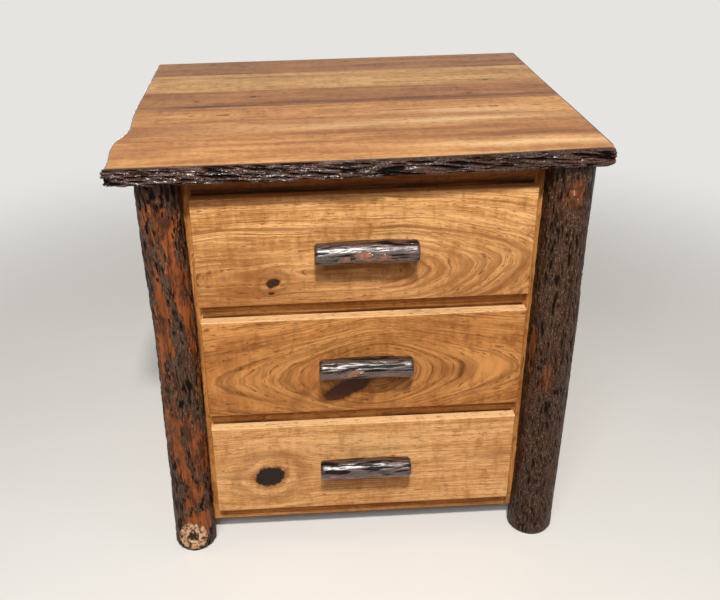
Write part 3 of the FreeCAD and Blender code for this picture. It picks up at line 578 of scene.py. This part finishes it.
def paint_top():
    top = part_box("top_board_1")[1].z
    for number, (tones, figure, knots, marks) in enumerate(TOP_BOARDS, start=1):
        name = "top_board_%d" % number
        paint(wood_material(name + "_wood", "xyz", tones, figure, top, number * TOP_SEED_STEP, knots, marks,
                            TOP_GLOSS, TOP_STRENGTHS), name)


def paint_fronts():
    for index, (drawer, finish) in enumerate(DRAWER_FRONTS.items()):
        tones, figure, knots, marks, strengths, painted_edge_light = finish
        name = drawer + "_drawer_front"
        low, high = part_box(name)
        seed = FRONT_SEED + index * FRONT_SEED_STEP
        # the top edge line is painted light: a highlight on the middle and lower fronts, a shade on the
        # upper front under the table top
        edge = (0.0, high.z, WHOLE_LENGTH, PAINTED_EDGE_HIGH, PAINTED_EDGE_SHARE, painted_edge_light)
        paint(wood_material(name + "_wood", "xzy", tones, figure, low.y, seed, knots, (*marks, edge),
                            FRONT_GLOSS, strengths), name)


def paint_case():
    lines = []
    for drawer, wide in JOINT_SHADE_LINES.items():
        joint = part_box(drawer + "_drawer_front")[1].z + JOINT_SHADE_RISE * wide
        # a painted shade line on the rail, in the joint above each drawer front
        lines.append((0.0, joint, WHOLE_LENGTH, wide, 1.0, JOINT_SHADE_BROWN))
    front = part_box("top_front_rail")[0].y
    paint(wood_material("rail_wood", "xzy", CASE, RAIL_FIGURE, front, RAIL_SEED, marks=lines), "_rail")
    for side, seed in SIDE_SEEDS.items():
        low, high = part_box(side + "_side_panel")
        figure = (low.z + (high.z - low.z) * SIDE_CENTRE_HIGH, (low.y + high.y) / 2, *SIDE_SHAPE)
        outside = low.x if side == "left" else high.x
        paint(wood_material(side + "_side_wood", "zyx", CASE, figure, outside, seed),
              side + "_side_panel")
    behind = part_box("back_panel")[1].y
    paint(wood_material("back_panel_wood", "zxy", RIPE, BACK_FIGURE, behind, BACK_SEED), "back_panel")


def paint_plain_parts():
    for *wood, endings in PLAIN_PARTS:
        paint(wood_material(*wood), *endings)
    paint(zinc_material(), "_screws")


def deselect_all():
    if bpy.context.object and bpy.context.object.mode != "OBJECT":
        bpy.ops.object.mode_set(mode="OBJECT")
    bpy.ops.object.select_all(action="DESELECT")


def take(piece):
    """Selects one piece alone and makes it the active one."""
    deselect_all()
    piece.select_set(True)
    bpy.context.view_layer.objects.active = piece


def add_modifier(piece, kind, **settings):
    return set_up(piece.modifiers.new(kind.lower(), kind), **settings)


def work_in(piece, kind, **settings):
    """Gives a piece a modifier and applies it."""
    modifier = add_modifier(piece, kind, **settings)
    take(piece)
    bpy.ops.object.modifier_apply(modifier=modifier.name)


def read_points(piece, what="co"):
    flat = np.empty(len(piece.data.vertices) * 3)
    piece.data.vertices.foreach_get(what, flat)
    return flat.reshape(-1, 3)


def move_points(piece, points):
    piece.data.vertices.foreach_set("co", np.ascontiguousarray(points).ravel())
    piece.data.update()


def smoothstep(value, low, high):
    share = np.clip((value - low) / (high - low), 0.0, 1.0)
    return share * share * (3 - 2 * share)


def scaled(sizes, factor):
    return [size * factor for size in sizes]


def pattern(kind, **settings):
    """A procedural texture that relief is taken from."""
    return set_up(bpy.data.textures.new(kind.lower(), kind), noise_scale=1.0, **settings)


PLATES = pattern("DISTORTED_NOISE", noise_basis="VORONOI_F2_F1", noise_distortion="BLENDER_ORIGINAL",
                 distortion=0.8)
RIDGES = pattern("MUSGRAVE", musgrave_type="RIDGED_MULTIFRACTAL", octaves=4.0, lacunarity=2.1,
                 dimension_max=0.9, offset=1.0, gain=2.0)
CLOUDS = pattern("CLOUDS", noise_depth=4)
SEED_STEP = (0.37, 0.53, 0.71)
READ_PERCENT = (3, 97)


def read_pattern(piece, texture, stretch, seed, turn=(0.0, 0.0, 0.0)):
    """How high a pattern stands at each point of a piece, 0 to 1; stretch is the size of its cells."""
    start = [seed * step for step in SEED_STEP]
    space = set_up(new_object("pattern_space"), location=start, rotation_euler=turn, scale=stretch)
    reader = add_modifier(piece, "DISPLACE", texture=texture, texture_coords="OBJECT",
                          texture_coords_object=space, direction="X", mid_level=0.0, strength=1.0)
    bpy.context.view_layer.update()
    shown = piece.evaluated_get(bpy.context.evaluated_depsgraph_get())
    height = read_points(shown)[:, 0] - read_points(piece)[:, 0]
    piece.modifiers.remove(reader)
    bpy.data.objects.remove(space)
    low, high = np.percentile(height, READ_PERCENT)
    return np.clip((height - low) / (high - low), 0.0, 1.0)


def raise_relief(piece, height, deep):
    """Lifts each point along its normal by its share of the depth, with a Displace modifier."""
    group = piece.vertex_groups.new(name="relief")
    for index, share in enumerate(np.clip(height, 0.0, 1.0).tolist()):
        if share > 0.0:
            group.add((index,), share, "REPLACE")
    work_in(piece, "DISPLACE", vertex_group=group.name, mid_level=0.0, strength=deep)
    piece.vertex_groups.clear()


def store(piece, **found):
    """Keeps numbers of each point for the finish to read."""
    for name, values in found.items():
        item = piece.data.attributes.new(name, "FLOAT", "POINT")
        item.data.foreach_set("value", np.asarray(values, np.float32))


def finish_piece(piece, node, body, material, sharp=50):
    piece.data.materials.clear()
    piece.data.materials.append(material)
    take(piece)
    bpy.ops.object.shade_smooth_by_angle(angle=math.radians(sharp))
    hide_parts(node)
    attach(piece, body)


def copy_of(node):
    """A new piece with the same mesh as a node's solid, its doubled points merged."""
    piece = NODES[node].copy()
    piece.data = NODES[node].data.copy()
    piece.name = piece.data.name = node + "_finished"
    piece.parent = None
    for key in list(piece.keys()):
        del piece[key]
    bpy.context.scene.collection.objects.link(piece)
    take(piece)
    bpy.ops.object.mode_set(mode="EDIT")
    bpy.ops.mesh.select_all(action="SELECT")
    bpy.ops.mesh.remove_doubles(threshold=0.00001)
    bpy.ops.object.mode_set(mode="OBJECT")
    return piece


RING_CORNERS = 7
RING_THICK = 0.0003
RING_ROUGH = 0.001
ON_RING = 0.965
INSIDE_NEXT_RING = 0.8
LEAST_RADIUS = 0.4
MOST_RADIUS = 0.54


def circle_through(ring):
    """Centre and radius of the circle nearest to some points."""
    design = np.column_stack([2 * ring, np.ones(len(ring))])
    fitted = np.linalg.lstsq(design, (ring ** 2).sum(1), rcond=None)[0]
    return fitted[:2], float(np.sqrt(fitted[2] + (fitted[:2] ** 2).sum()))


def away_from(centre, ring):
    return np.hypot(*(ring - centre).T)


def rings_of(node, axis, others):
    """Levels, centres and radii of a log's rings: circles through the corners of its solid."""
    points = np.array([vertex.co for vertex in NODES[node].data.vertices])
    points = np.unique(points.round(6), axis=0)
    widths = points[:, others].max(0) - points[:, others].min(0)
    least, most = LEAST_RADIUS * widths.min(), MOST_RADIUS * widths.min()
    found = []
    for level in np.unique(points[:, axis].round(4)):
        ring = points[np.abs(points[:, axis] - level) < RING_THICK][:, others]
        if found:
            ring = ring[away_from(found[-1][1], ring) > INSIDE_NEXT_RING * found[-1][2]]
        for _ in range(2):
            if len(ring) >= RING_CORNERS:
                centre, radius = circle_through(ring)
                ring = ring[away_from(centre, ring) > ON_RING * radius]
        if len(ring) < RING_CORNERS:
            continue
        centre, radius = circle_through(ring)
        off = np.abs(away_from(centre, ring) - radius).max()
        if off < RING_ROUGH and least < radius < most:
            found.append((float(level), centre, radius))
    return [np.array(column) for column in zip(*found)]


def make_log(name, node, axis, sides, rows):
    """A closed log of fine squares through the rings of its solid, and what is known of its points."""
    others = [index for index in range(3) if index != axis]
    levels, centres, radii = rings_of(node, axis, others)
    deselect_all()
    bpy.ops.mesh.primitive_cylinder_add(vertices=sides, radius=1.0, depth=1.0, end_fill_type="TRIFAN")
    log = bpy.context.object
    log.name = log.data.name = name
    bpy.ops.object.mode_set(mode="EDIT")
    bpy.ops.mesh.select_all(action="DESELECT")
    edit = bmesh.from_edit_mesh(log.data)
    for edge in edit.edges:
        first, second = edge.verts
        edge.select = abs(first.co.z - second.co.z) > 0.5
    bmesh.update_edit_mesh(log.data)
    bpy.ops.mesh.subdivide(number_cuts=rows - 1)
    bpy.ops.object.mode_set(mode="OBJECT")
    unit = read_points(log)
    along = levels[0] + (unit[:, 2] + 0.5) * (levels[-1] - levels[0])
    radius = np.interp(along, levels, radii)
    middle = np.stack([np.interp(along, levels, centres[:, index]) for index in range(2)], 1)
    placed = np.empty_like(unit)
    placed[:, axis] = along
    placed[:, others] = middle + unit[:, :2] * radius[:, None]
    move_points(log, placed)
    angle = np.arctan2(unit[:, 1], unit[:, 0])
    outward = np.stack([np.cos(angle), np.sin(angle)], 1)
    side = np.hypot(unit[:, 0], unit[:, 1]) > 0.99
    return log, SimpleNamespace(axis=axis, others=others, along=along, radius=radius, outward=outward,
                                angle=np.degrees(angle), side=side, cut=np.where(side, 0.0, 0.7))


def turn_from(angle, at_angle):
    """Degrees from an angle round the log, -180 to 180."""
    return (angle - at_angle + 180) % 360 - 180


# Patches painted on the logs in turn: angle in degrees, height, half angle, half height, share that is bare
# and, where it leans, its lean in degrees a metre
LEFT_PATCHES = (
    (-90, 0.38, 75, 0.28, 0.62),
    (-118, 0.628, 20, 0.03, 1.0), (-72, 0.618, 18, 0.04, 1.0), (-62, 0.52, 14, 0.07, 1.0),
    (-112, 0.5, 16, 0.08, 1.0), (-36, 0.405, 16, 0.075, 1.0), (-108, 0.41, 16, 0.06, 0.9),
    (-60, 0.23, 24, 0.035, 1.0), (-98, 0.19, 16, 0.045, 1.0), (-36, 0.185, 14, 0.045, 0.9),
    (-70, 0.13, 28, 0.026, 1.0), (-95, 0.1, 16, 0.022, 0.9),
    (-100, 0.6, 5, 0.05, 0.0, -500), (-92, 0.52, 13, 0.085, 0.0, -330),
    (-78, 0.415, 12, 0.04, 0.0, -300),
    (-76, 0.33, 38, 0.062, 0.0), (-120, 0.33, 14, 0.05, 0.25), (-88, 0.235, 5, 0.05, 0.0, -300),
    (-74, 0.165, 6, 0.04, 0.1, -400), (-66, 0.087, 34, 0.014, 0.0), (-64, 0.062, 36, 0.022, 1.0),
    (0, 0.684, 400, 0.038, 0.0),
)
RIGHT_PATCHES = (
    (-92, 0.64, 23, 0.023, 0.85), (-158, 0.372, 9, 0.04, 0.9), (-108, 0.335, 12, 0.034, 0.5),
    (-20, 0.5, 12, 0.05, 0.8), (60, 0.25, 16, 0.06, 0.8), (-70, 0.12, 10, 0.03, 0.5),
)
REAR_LEFT_PATCHES = (
    (-150, 0.45, 20, 0.05, 1.0), (120, 0.3, 22, 0.06, 1.0), (170, 0.6, 18, 0.03, 0.9),
    (-170, 0.16, 16, 0.03, 0.9),
)
REAR_RIGHT_PATCHES = (
    (30, 0.5, 20, 0.05, 1.0), (-20, 0.26, 18, 0.05, 0.9), (100, 0.35, 20, 0.05, 1.0),
    (60, 0.14, 16, 0.03, 0.9),
)
# On a pull, the height is the place along it from its middle
PULL_PATCHES = {
    "upper": ((176, -0.006, 15, 0.009, 1.0), (-170, 0.024, 15, 0.008, 0.9),
              (-164, -0.034, 15, 0.01, 0.8), (-158, 0.005, 14, 0.03, 0.7)),
    "middle": ((172, -0.016, 12, 0.009, 1.0), (-170, -0.03, 16, 0.012, 0.9),
               (-162, 0.03, 15, 0.014, 0.7)),
    "lower": ((-166, -0.052, 20, 0.009, 1.0), (-160, 0.022, 15, 0.016, 0.7)),
}

# Bark of the legs: material, patches, cell size across, cell length, share of plates against ridges, level
# at which a furrow has its bottom, depth of the relief, seed
LEGS = {
    "front_left_leg": ("left_leg_bark", LEFT_PATCHES, 0.0074, 0.015, 0.5, 0.05, 0.0028, 1.1),
    "front_right_leg": ("right_leg_bark", RIGHT_PATCHES, 0.0036, 0.011, 0.4, -0.08, 0.0021, 2.3),
    "rear_left_leg": ("right_leg_bark", REAR_LEFT_PATCHES, 0.0034, 0.024, 0.3, -0.05, 0.0024, 3.7),
    "rear_right_leg": ("right_leg_bark", REAR_RIGHT_PATCHES, 0.003, 0.022, 0.3, -0.1, 0.0022, 4.1),
}
PULL_BARK = (0.004, 0.04, 0.3, -0.08, 0.001)
PULL_SEEDS = {"lower": 6.0, "middle": 7.0, "upper": 8.0}
LEG_SIDES, LEG_ROWS = 220, 430
PULL_SIDES, PULL_ROWS = 130, 220
STUB = {"x": -0.288, "z": 0.0355, "half_wide": 0.0245, "half_high": 0.031, "face": -0.2665}
SCAR = {"angle": -92.0, "height": 0.639, "radius": 0.015, "rise": 0.0035}
SHRED_SHARE = 0.14
CREST_AT = 0.75
RAG_PUSH = 0.9
SHRED_PUSH = 0.7
PLATE_HOLD = 0.55
RAG_HOLD = 0.25
BARK_THICK = 0.28
BARE_THICK = 0.12
SUNK = 0.55
END_FADE = 0.004
END_CHAMFER = 0.0018
END_CHAMFER_LONG = 0.003


def carve_log(log, facts, patches, cell, cell_long, plate_share, low, deep, seed):
    """Covers a log with ridged bark, bares its patches, and stores what the finish reads."""
    stretch = [cell, cell, cell]
    stretch[facts.axis] = cell_long
    plates = read_pattern(log, PLATES, stretch, seed)
    ridges = read_pattern(log, RIDGES, scaled(stretch, 1.3), seed + 1)
    rag = read_pattern(log, CLOUDS, scaled(stretch, 5), seed + 2)
    shred = read_pattern(log, CLOUDS, scaled(stretch, 0.45), seed + 3)
    relief = plate_share * plates + (1 - SHRED_SHARE - plate_share) * ridges + SHRED_SHARE * shred
    relief = smoothstep(relief, low, CREST_AT)
    bare = np.zeros(len(facts.along))
    for at_angle, at_height, half_angle, half_height, share, *lean in patches:
        above = facts.along - at_height
        straight = facts.angle - sum(lean) * above
        far = np.hypot(turn_from(straight, at_angle) / half_angle, above / half_height)
        far = far + (rag - 0.5) * RAG_PUSH + (shred - 0.5) * SHRED_PUSH
        blend = smoothstep(far, 1.15, 0.85)
        bare = bare * (1 - blend) + share * blend
    # where only part of the bark is gone, the higher plates are what is left of it
    cover = 1 - smoothstep(bare - PLATE_HOLD * plates + RAG_HOLD * (rag - 0.5), 0.12, 0.3)
    bark = BARK_THICK + (1 - BARK_THICK) * relief
    height = cover * bark + (1 - cover) * BARE_THICK * (1 + shred)
    ends = np.minimum(facts.along - facts.along.min(), facts.along.max() - facts.along)
    height = height * smoothstep(ends, 0.0, END_FADE)
    chamfer = END_CHAMFER * (1 - smoothstep(ends, 0.0, END_CHAMFER_LONG))
    sink = (deep * SUNK + chamfer) * facts.side
    placed = read_points(log)
    placed[:, facts.others] -= facts.outward * sink[:, None]
    move_points(log, placed)
    raise_relief(log, height * facts.side, deep)
    store(log, relief=relief, cover=cover)


def saw_stub(log, facts):
    """The sawn end of a branch at the foot of the front left leg: a flat, cracked disc with a bark rim."""
    placed = read_points(log)
    across = (placed[:, 0] - STUB["x"]) / STUB["half_wide"]
    far = np.hypot(across, (placed[:, 2] - STUB["z"]) / STUB["half_high"])
    front = placed[:, 1] < STUB["face"] + 0.5 * STUB["half_wide"]
    share = smoothstep(far, 1.22, 1.0) * front
    rough = read_pattern(log, CLOUDS, (0.005, 0.005, 0.005), 8.0)
    dish = 0.0035 * smoothstep(far, 0.55, 0.15) * rough + 0.001 * rough
    placed[:, 1] = placed[:, 1] * (1 - share) + (STUB["face"] + dish) * share
    move_points(log, placed)
    heart = np.clip(0.62 + 0.38 * smoothstep(far, 0.62, 0.25) * (0.5 + rough), 0.0, 1.0)
    facts.cut = np.where((far < 1.0) & front, np.where(far > 0.9, 0.45, heart), facts.cut)


def swell_scar(log, facts):
    """The healed branch scar high on the front right leg: a ring, and a nub in its middle."""
    across = np.radians(turn_from(facts.angle, SCAR["angle"])) * facts.radius
    far = np.hypot(across, facts.along - SCAR["height"]) / SCAR["radius"]
    nub = np.exp(-(far / 0.32) ** 2)
    hollow = 0.7 * np.exp(-((far - 0.62) / 0.16) ** 2)
    ring = 0.8 * np.exp(-((far - 1.05) / 0.2) ** 2)
    placed = read_points(log)
    placed[:, :2] += facts.outward * ((nub - hollow + ring) * SCAR["rise"] * facts.side)[:, None]
    move_points(log, placed)


def cut_box(piece, low, high):
    """Cuts a block out of a piece, through bark and wood."""
    deselect_all()
    bpy.ops.mesh.primitive_cube_add(size=1.0, location=(low + high) / 2)
    block = bpy.context.object
    block.scale = high - low
    work_in(piece, "BOOLEAN", operation="DIFFERENCE", solver="EXACT", object=block)
    bpy.data.objects.remove(block)


def make_legs(barks):
    case_low = Vector(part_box("left_side_panel")[0])
    case_high = Vector(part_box("right_side_panel")[1]) + Vector((0, 0, 0.01))
    for name, (bark, *relief) in LEGS.items():
        log, facts = make_log(name + "_log", name, 2, LEG_SIDES, LEG_ROWS)
        carve_log(log, facts, *relief)
        if name == "front_left_leg":
            saw_stub(log, facts)
        if name == "front_right_leg":
            swell_scar(log, facts)
        store(log, cut=facts.cut)
        cut_box(log, case_low, case_high)
        finish_piece(log, name, "cabinet", barks[bark])


def make_pulls(bark):
    for drawer in DRAWERS:
        node = drawer + "_pull"
        pull, facts = make_log(node + "_branch", node, 0, PULL_SIDES, PULL_ROWS)
        middle = (facts.along.min() + facts.along.max()) / 2
        patches = [(angle, middle + place, *rest) for angle, place, *rest in PULL_PATCHES[drawer]]
        carve_log(pull, facts, patches, *PULL_BARK, PULL_SEEDS[drawer])
        store(pull, cut=facts.cut)
        finish_piece(pull, node, drawer + "_drawer", bark)


POST_SLIM = 0.68
POST_DROP = 0.0022


def make_posts():
    """The turned posts behind the pulls, slimmer than their blanks."""
    for drawer in DRAWERS:
        node = drawer + "_pull_posts"
        piece = copy_of(node)
        placed = read_points(piece)
        left = placed[:, 0] < (placed[:, 0].min() + placed[:, 0].max()) / 2
        for post in (left, ~left):
            for axis in (0, 2):
                middle = (placed[post, axis].min() + placed[post, axis].max()) / 2
                placed[post, axis] = middle + (placed[post, axis] - middle) * POST_SLIM
        placed[:, 2] -= POST_DROP
        move_points(piece, placed)
        finish_piece(piece, node, drawer + "_drawer", piece.data.materials[0])


ARRIS = 0.0013
ON_FACE = 0.00002


def make_fronts():
    """Drawer fronts with the sharp edges of their faces sanded off."""
    for drawer in DRAWERS:
        node = drawer + "_drawer_front"
        piece = copy_of(node)
        placed = read_points(piece)
        on_side = (np.abs(placed - placed.min(0)) < ON_FACE) | (np.abs(placed - placed.max(0)) < ON_FACE)
        weight = piece.data.attributes.new("bevel_weight_edge", "FLOAT", "EDGE")
        for edge in piece.data.edges:
            first, second = edge.vertices
            if (on_side[first] & on_side[second]).sum() >= 2:
                weight.data[edge.index].value = 1.0
        work_in(piece, "BEVEL", limit_method="WEIGHT", width=ARRIS, segments=3)
        finish_piece(piece, node, drawer + "_drawer", piece.data.materials[0], 8)


# Bark strips: material, cell size along X, Y and Z, tilt about Y in degrees, depth of the relief, seed
EDGES = {
    "front": ("edge_bark", (0.062, 0.011, 0.0074), 5, 0.0044, 7.1),
    # the left rim is pale: a painted highlight along the top's rounded edge
    "left": ("rim_bark", (0.004, 0.022, 0.004), 0, 0.0012, 7.3),
    "right": ("edge_bark", (0.004, 0.022, 0.004), 0, 0.0012, 7.9),
}
EDGE_SQUARE = 0.00085
EDGE_SUNK = 0.62
UNDERSIDE_SHARE = 0.9
TOP_FADE = 0.0022
FLAT_RELIEF = 0.7
# The front strip's two ends, as distances from the middle of the table: where they grow outwards, where
# they get rounder, and where their top corners drop
END_GROW_SPAN = (0.335, 0.35)
END_ROUND_SPAN = (0.338, 0.352)
END_DROP_SPAN = (0.342, 0.354)
END_DEPTH_SPAN = (0.283, 0.289)
END_GROW = 0.005
END_ROUND = 0.22
END_DROP = 0.0045


def shape_front_ends(before, sunk, share):
    """Lets the two ends of the front strip grow outwards, rounder and lower than the board."""
    top = before[:, 2].max()
    middle = (before[:, 2].min() + top) / 2
    out = np.abs(before[:, 0])
    reach = smoothstep(out, *END_GROW_SPAN) * smoothstep(-before[:, 1], *END_DEPTH_SPAN)
    sunk[:, 0] += np.sign(before[:, 0]) * reach * END_GROW
    sunk[:, 2] += (middle - before[:, 2]) * smoothstep(out, *END_ROUND_SPAN) * share * END_ROUND
    sunk[:, 2] -= smoothstep(out, *END_DROP_SPAN) * smoothstep(before[:, 2], middle, top) * END_DROP


def furrow_edge(piece, side, stretch, tilt, deep, seed):
    """Long slanting ridges on the outer face of a bark strip."""
    turn = (0.0, math.radians(tilt), 0.0)
    placed, normals = read_points(piece), read_points(piece, "normal")
    outer = normals[:, 0] * np.sign(placed[:, 0])
    if side == "front":
        outer = np.maximum(np.maximum(-normals[:, 1], outer), -normals[:, 2] * UNDERSIDE_SHARE)
    plates = read_pattern(piece, PLATES, stretch, seed, turn)
    ridges = read_pattern(piece, RIDGES, scaled(stretch, 0.8), seed + 1, turn)
    shred = read_pattern(piece, CLOUDS, scaled(stretch, 0.3), seed + 2, turn)
    relief = smoothstep(0.34 * plates + 0.54 * ridges + 0.12 * shred, 0.08, 0.75)
    share = smoothstep(outer, 0.15, 0.6) * smoothstep(placed[:, 2].max() - placed[:, 2], 0.0, TOP_FADE)
    sunk = placed - normals * (share * deep * EDGE_SUNK)[:, None]
    if side == "front":
        shape_front_ends(placed, sunk, share)
    move_points(piece, sunk)
    raise_relief(piece, relief * share, deep)
    store(piece, relief=relief * share + (1 - share) * FLAT_RELIEF, cover=np.ones(len(relief)),
          cut=np.zeros(len(relief)))


def make_bark_edges(barks):
    """The bark strips of the top: their solids, finely divided, then furrowed."""
    for side, (bark, *relief) in EDGES.items():
        node = side + "_bark_edge"
        piece = copy_of(node)
        work_in(piece, "REMESH", mode="VOXEL", voxel_size=EDGE_SQUARE)
        furrow_edge(piece, side, *relief)
        finish_piece(piece, node, "cabinet", barks[bark])


FLOOR_SIZE = 14.0
FLOOR_NEAR = 0.8
FLOOR_FAR = 2.0
FLOOR_PALE = (srgb(226, 224, 220), srgb(232, 230, 226))
FLOOR_GLOW = srgb(230, 228, 225)
ROOM_FLOOR = srgb(150, 112, 78)
BLACK = srgb(0, 0, 0)


def background_seen(net):
    """1 for rays that show the background, 0 for those that only carry its light."""
    paths = net.node("LightPath", {}).outputs
    return net.most(paths["Is Camera Ray"], paths["Is Glossy Ray"], paths["Is Transmission Ray"])


def make_floor():
    """A pale floor that glows evenly further off, and lights the table as a wooden one does."""
    deselect_all()
    bpy.ops.mesh.primitive_plane_add(size=FLOOR_SIZE, location=(0, 0, 0))
    floor = bpy.context.object
    floor.name = floor.data.name = "floor"
    material, net, shader, spot = start_material("pale_floor")
    pale = net.mix(net.noise(spot, 3.0, 3.0), *FLOOR_PALE)
    seen = background_seen(net)
    glow = net.times(net.span(net.vector("LENGTH", spot), FLOOR_NEAR, FLOOR_FAR), seen)
    net.fill(shader, {
        "Base Color": net.mix(glow, net.mix(seen, ROOM_FLOOR, pale), BLACK),
        "Emission Color": FLOOR_GLOW,
        "Emission Strength": glow,
        "Roughness": 0.8,
        "Specular IOR Level": 0.0,
    })
    floor.data.materials.append(material)


WORLD_SOFT = 0.11
WORLD_PALE = 0.8
# Lamps: place, target, width, height, power, colour
LAMPS = {
    "key_light": ((-0.1, -2.0, 2.75), (0.0, -0.2, 0.4), 0.26, 0.2, 90.0, (1.0, 0.955, 0.9)),
    "window_light": ((-0.7, -2.6, 2.5), (0.0, -0.1, 0.4), 1.4, 0.8, 40.0, (0.9, 0.95, 1.0)),
    "fill_light": ((2.4, -1.4, 1.4), (0.0, -0.2, 0.4), 1.4, 1.4, 5.0, (1.0, 0.9, 0.8)),
    "back_light": ((-0.6, 3.4, 0.4), (0.0, 0.2, 0.36), 2.4, 0.5, 32.0, (1.0, 0.98, 0.95)),
}


def make_light():
    world = bpy.data.worlds.new("studio")
    bpy.context.scene.world = world
    world.use_nodes = True
    net = Net(world.node_tree)
    strength = net.span(background_seen(net), 0.0, 1.0, WORLD_SOFT, WORLD_PALE, smooth=False)
    net.fill(world.node_tree.nodes["Background"], {"Color": (1.0, 1.0, 1.0, 1.0), "Strength": strength})
    for name, (place, target, wide, high, power, colour) in LAMPS.items():
        lamp = set_up(bpy.data.lights.new(name, "AREA"), shape="RECTANGLE", size=wide, size_y=high,
                      energy=power, color=colour)
        turn = (Vector(target) - Vector(place)).to_track_quat("-Z", "Y").to_euler()
        set_up(new_object(name, lamp), location=place, rotation_euler=turn, visible_camera=False)


def make_camera():
    data = set_up(bpy.data.cameras.new("photo_view"), sensor_width=SENSOR_MM,
                  lens=FOCAL_PIXELS * SENSOR_MM / PHOTO_WIDTH_PIXELS,
                  shift_x=-CENTRE_SHIFT_PIXELS / PHOTO_WIDTH_PIXELS)
    camera = new_object("photo_view", data)
    right, up = Vector(CAMERA_RIGHT).normalized(), Vector(CAMERA_UP).normalized()
    turn = Matrix((right, up, right.cross(up))).transposed().to_4x4()
    camera.matrix_world = Matrix.Translation(CAMERA_PLACE) @ turn
    bpy.context.scene.camera = camera


# Cells a metre of bare wood's fibre along X, Y or Z
ALONG_X = (14.0, 160.0, 160.0)
ALONG_Y = (160.0, 14.0, 160.0)
ALONG_Z = (160.0, 160.0, 14.0)
# Wood under the bark: light, dark, sawn face, heart
ORANGE_WOOD = (srgb(152, 82, 36), srgb(84, 42, 20), srgb(222, 184, 142), srgb(72, 40, 26))
BROWN_WOOD = (srgb(122, 68, 33), srgb(58, 30, 15), srgb(190, 150, 110), srgb(98, 58, 36))
TWIG_WOOD = (srgb(158, 92, 48), srgb(92, 50, 26), srgb(128, 74, 46), srgb(66, 38, 24))
# Barks: furrow, ridge, warm ridge and crest (weathered, its specks partly painted glints), then wood; share
# of pale crests and painted glints; roughness, specular level and coat weight; seed; fibre; depth of the
# bump, roughness and IOR of the coat
BARKS = {
    "left_leg_bark": (
        (srgb(12, 7, 5), srgb(74, 54, 40), srgb(74, 44, 28), srgb(146, 124, 104), *ORANGE_WOOD),
        0.5, (0.36, 0.07, 0.35), 3.0, ALONG_Z),
    "right_leg_bark": (
        (srgb(14, 8, 5), srgb(56, 35, 22), srgb(62, 36, 20), srgb(160, 132, 104), *BROWN_WOOD),
        0.5, (0.36, 0.07, 0.35), 5.0, ALONG_Z),
    "branch_bark": (
        (srgb(12, 7, 5), srgb(48, 27, 16), srgb(60, 32, 17), srgb(136, 118, 110), *TWIG_WOOD),
        0.34, (0.34, 0.15, 1.0), 7.0, ALONG_X, 0.0002, 0.36, 1.8),
    "edge_bark": (
        (srgb(7, 4, 3), srgb(58, 37, 27), srgb(70, 41, 27), srgb(138, 124, 118), *ORANGE_WOOD),
        0.55, (0.28, 0.06, 0.6), 9.0, ALONG_X),
    # pale tones: a painted highlight along the rim
    "rim_bark": (
        (srgb(62, 50, 42), srgb(116, 100, 90), srgb(120, 96, 78), srgb(200, 202, 208), *ORANGE_WOOD),
        0.8, (0.2, 0.5, 0.7), 9.5, ALONG_Y),
}


def main():
    paint_top()
    paint_fronts()
    paint_case()
    paint_plain_parts()
    barks = {name: bark_material(name, *settings) for name, settings in BARKS.items()}
    make_legs(barks)
    make_pulls(barks["branch_bark"])
    make_bark_edges(barks)
    make_posts()
    make_fronts()
    make_floor()
    make_light()
    make_camera()
    bpy.context.scene.view_settings.view_transform = "Standard"


main()
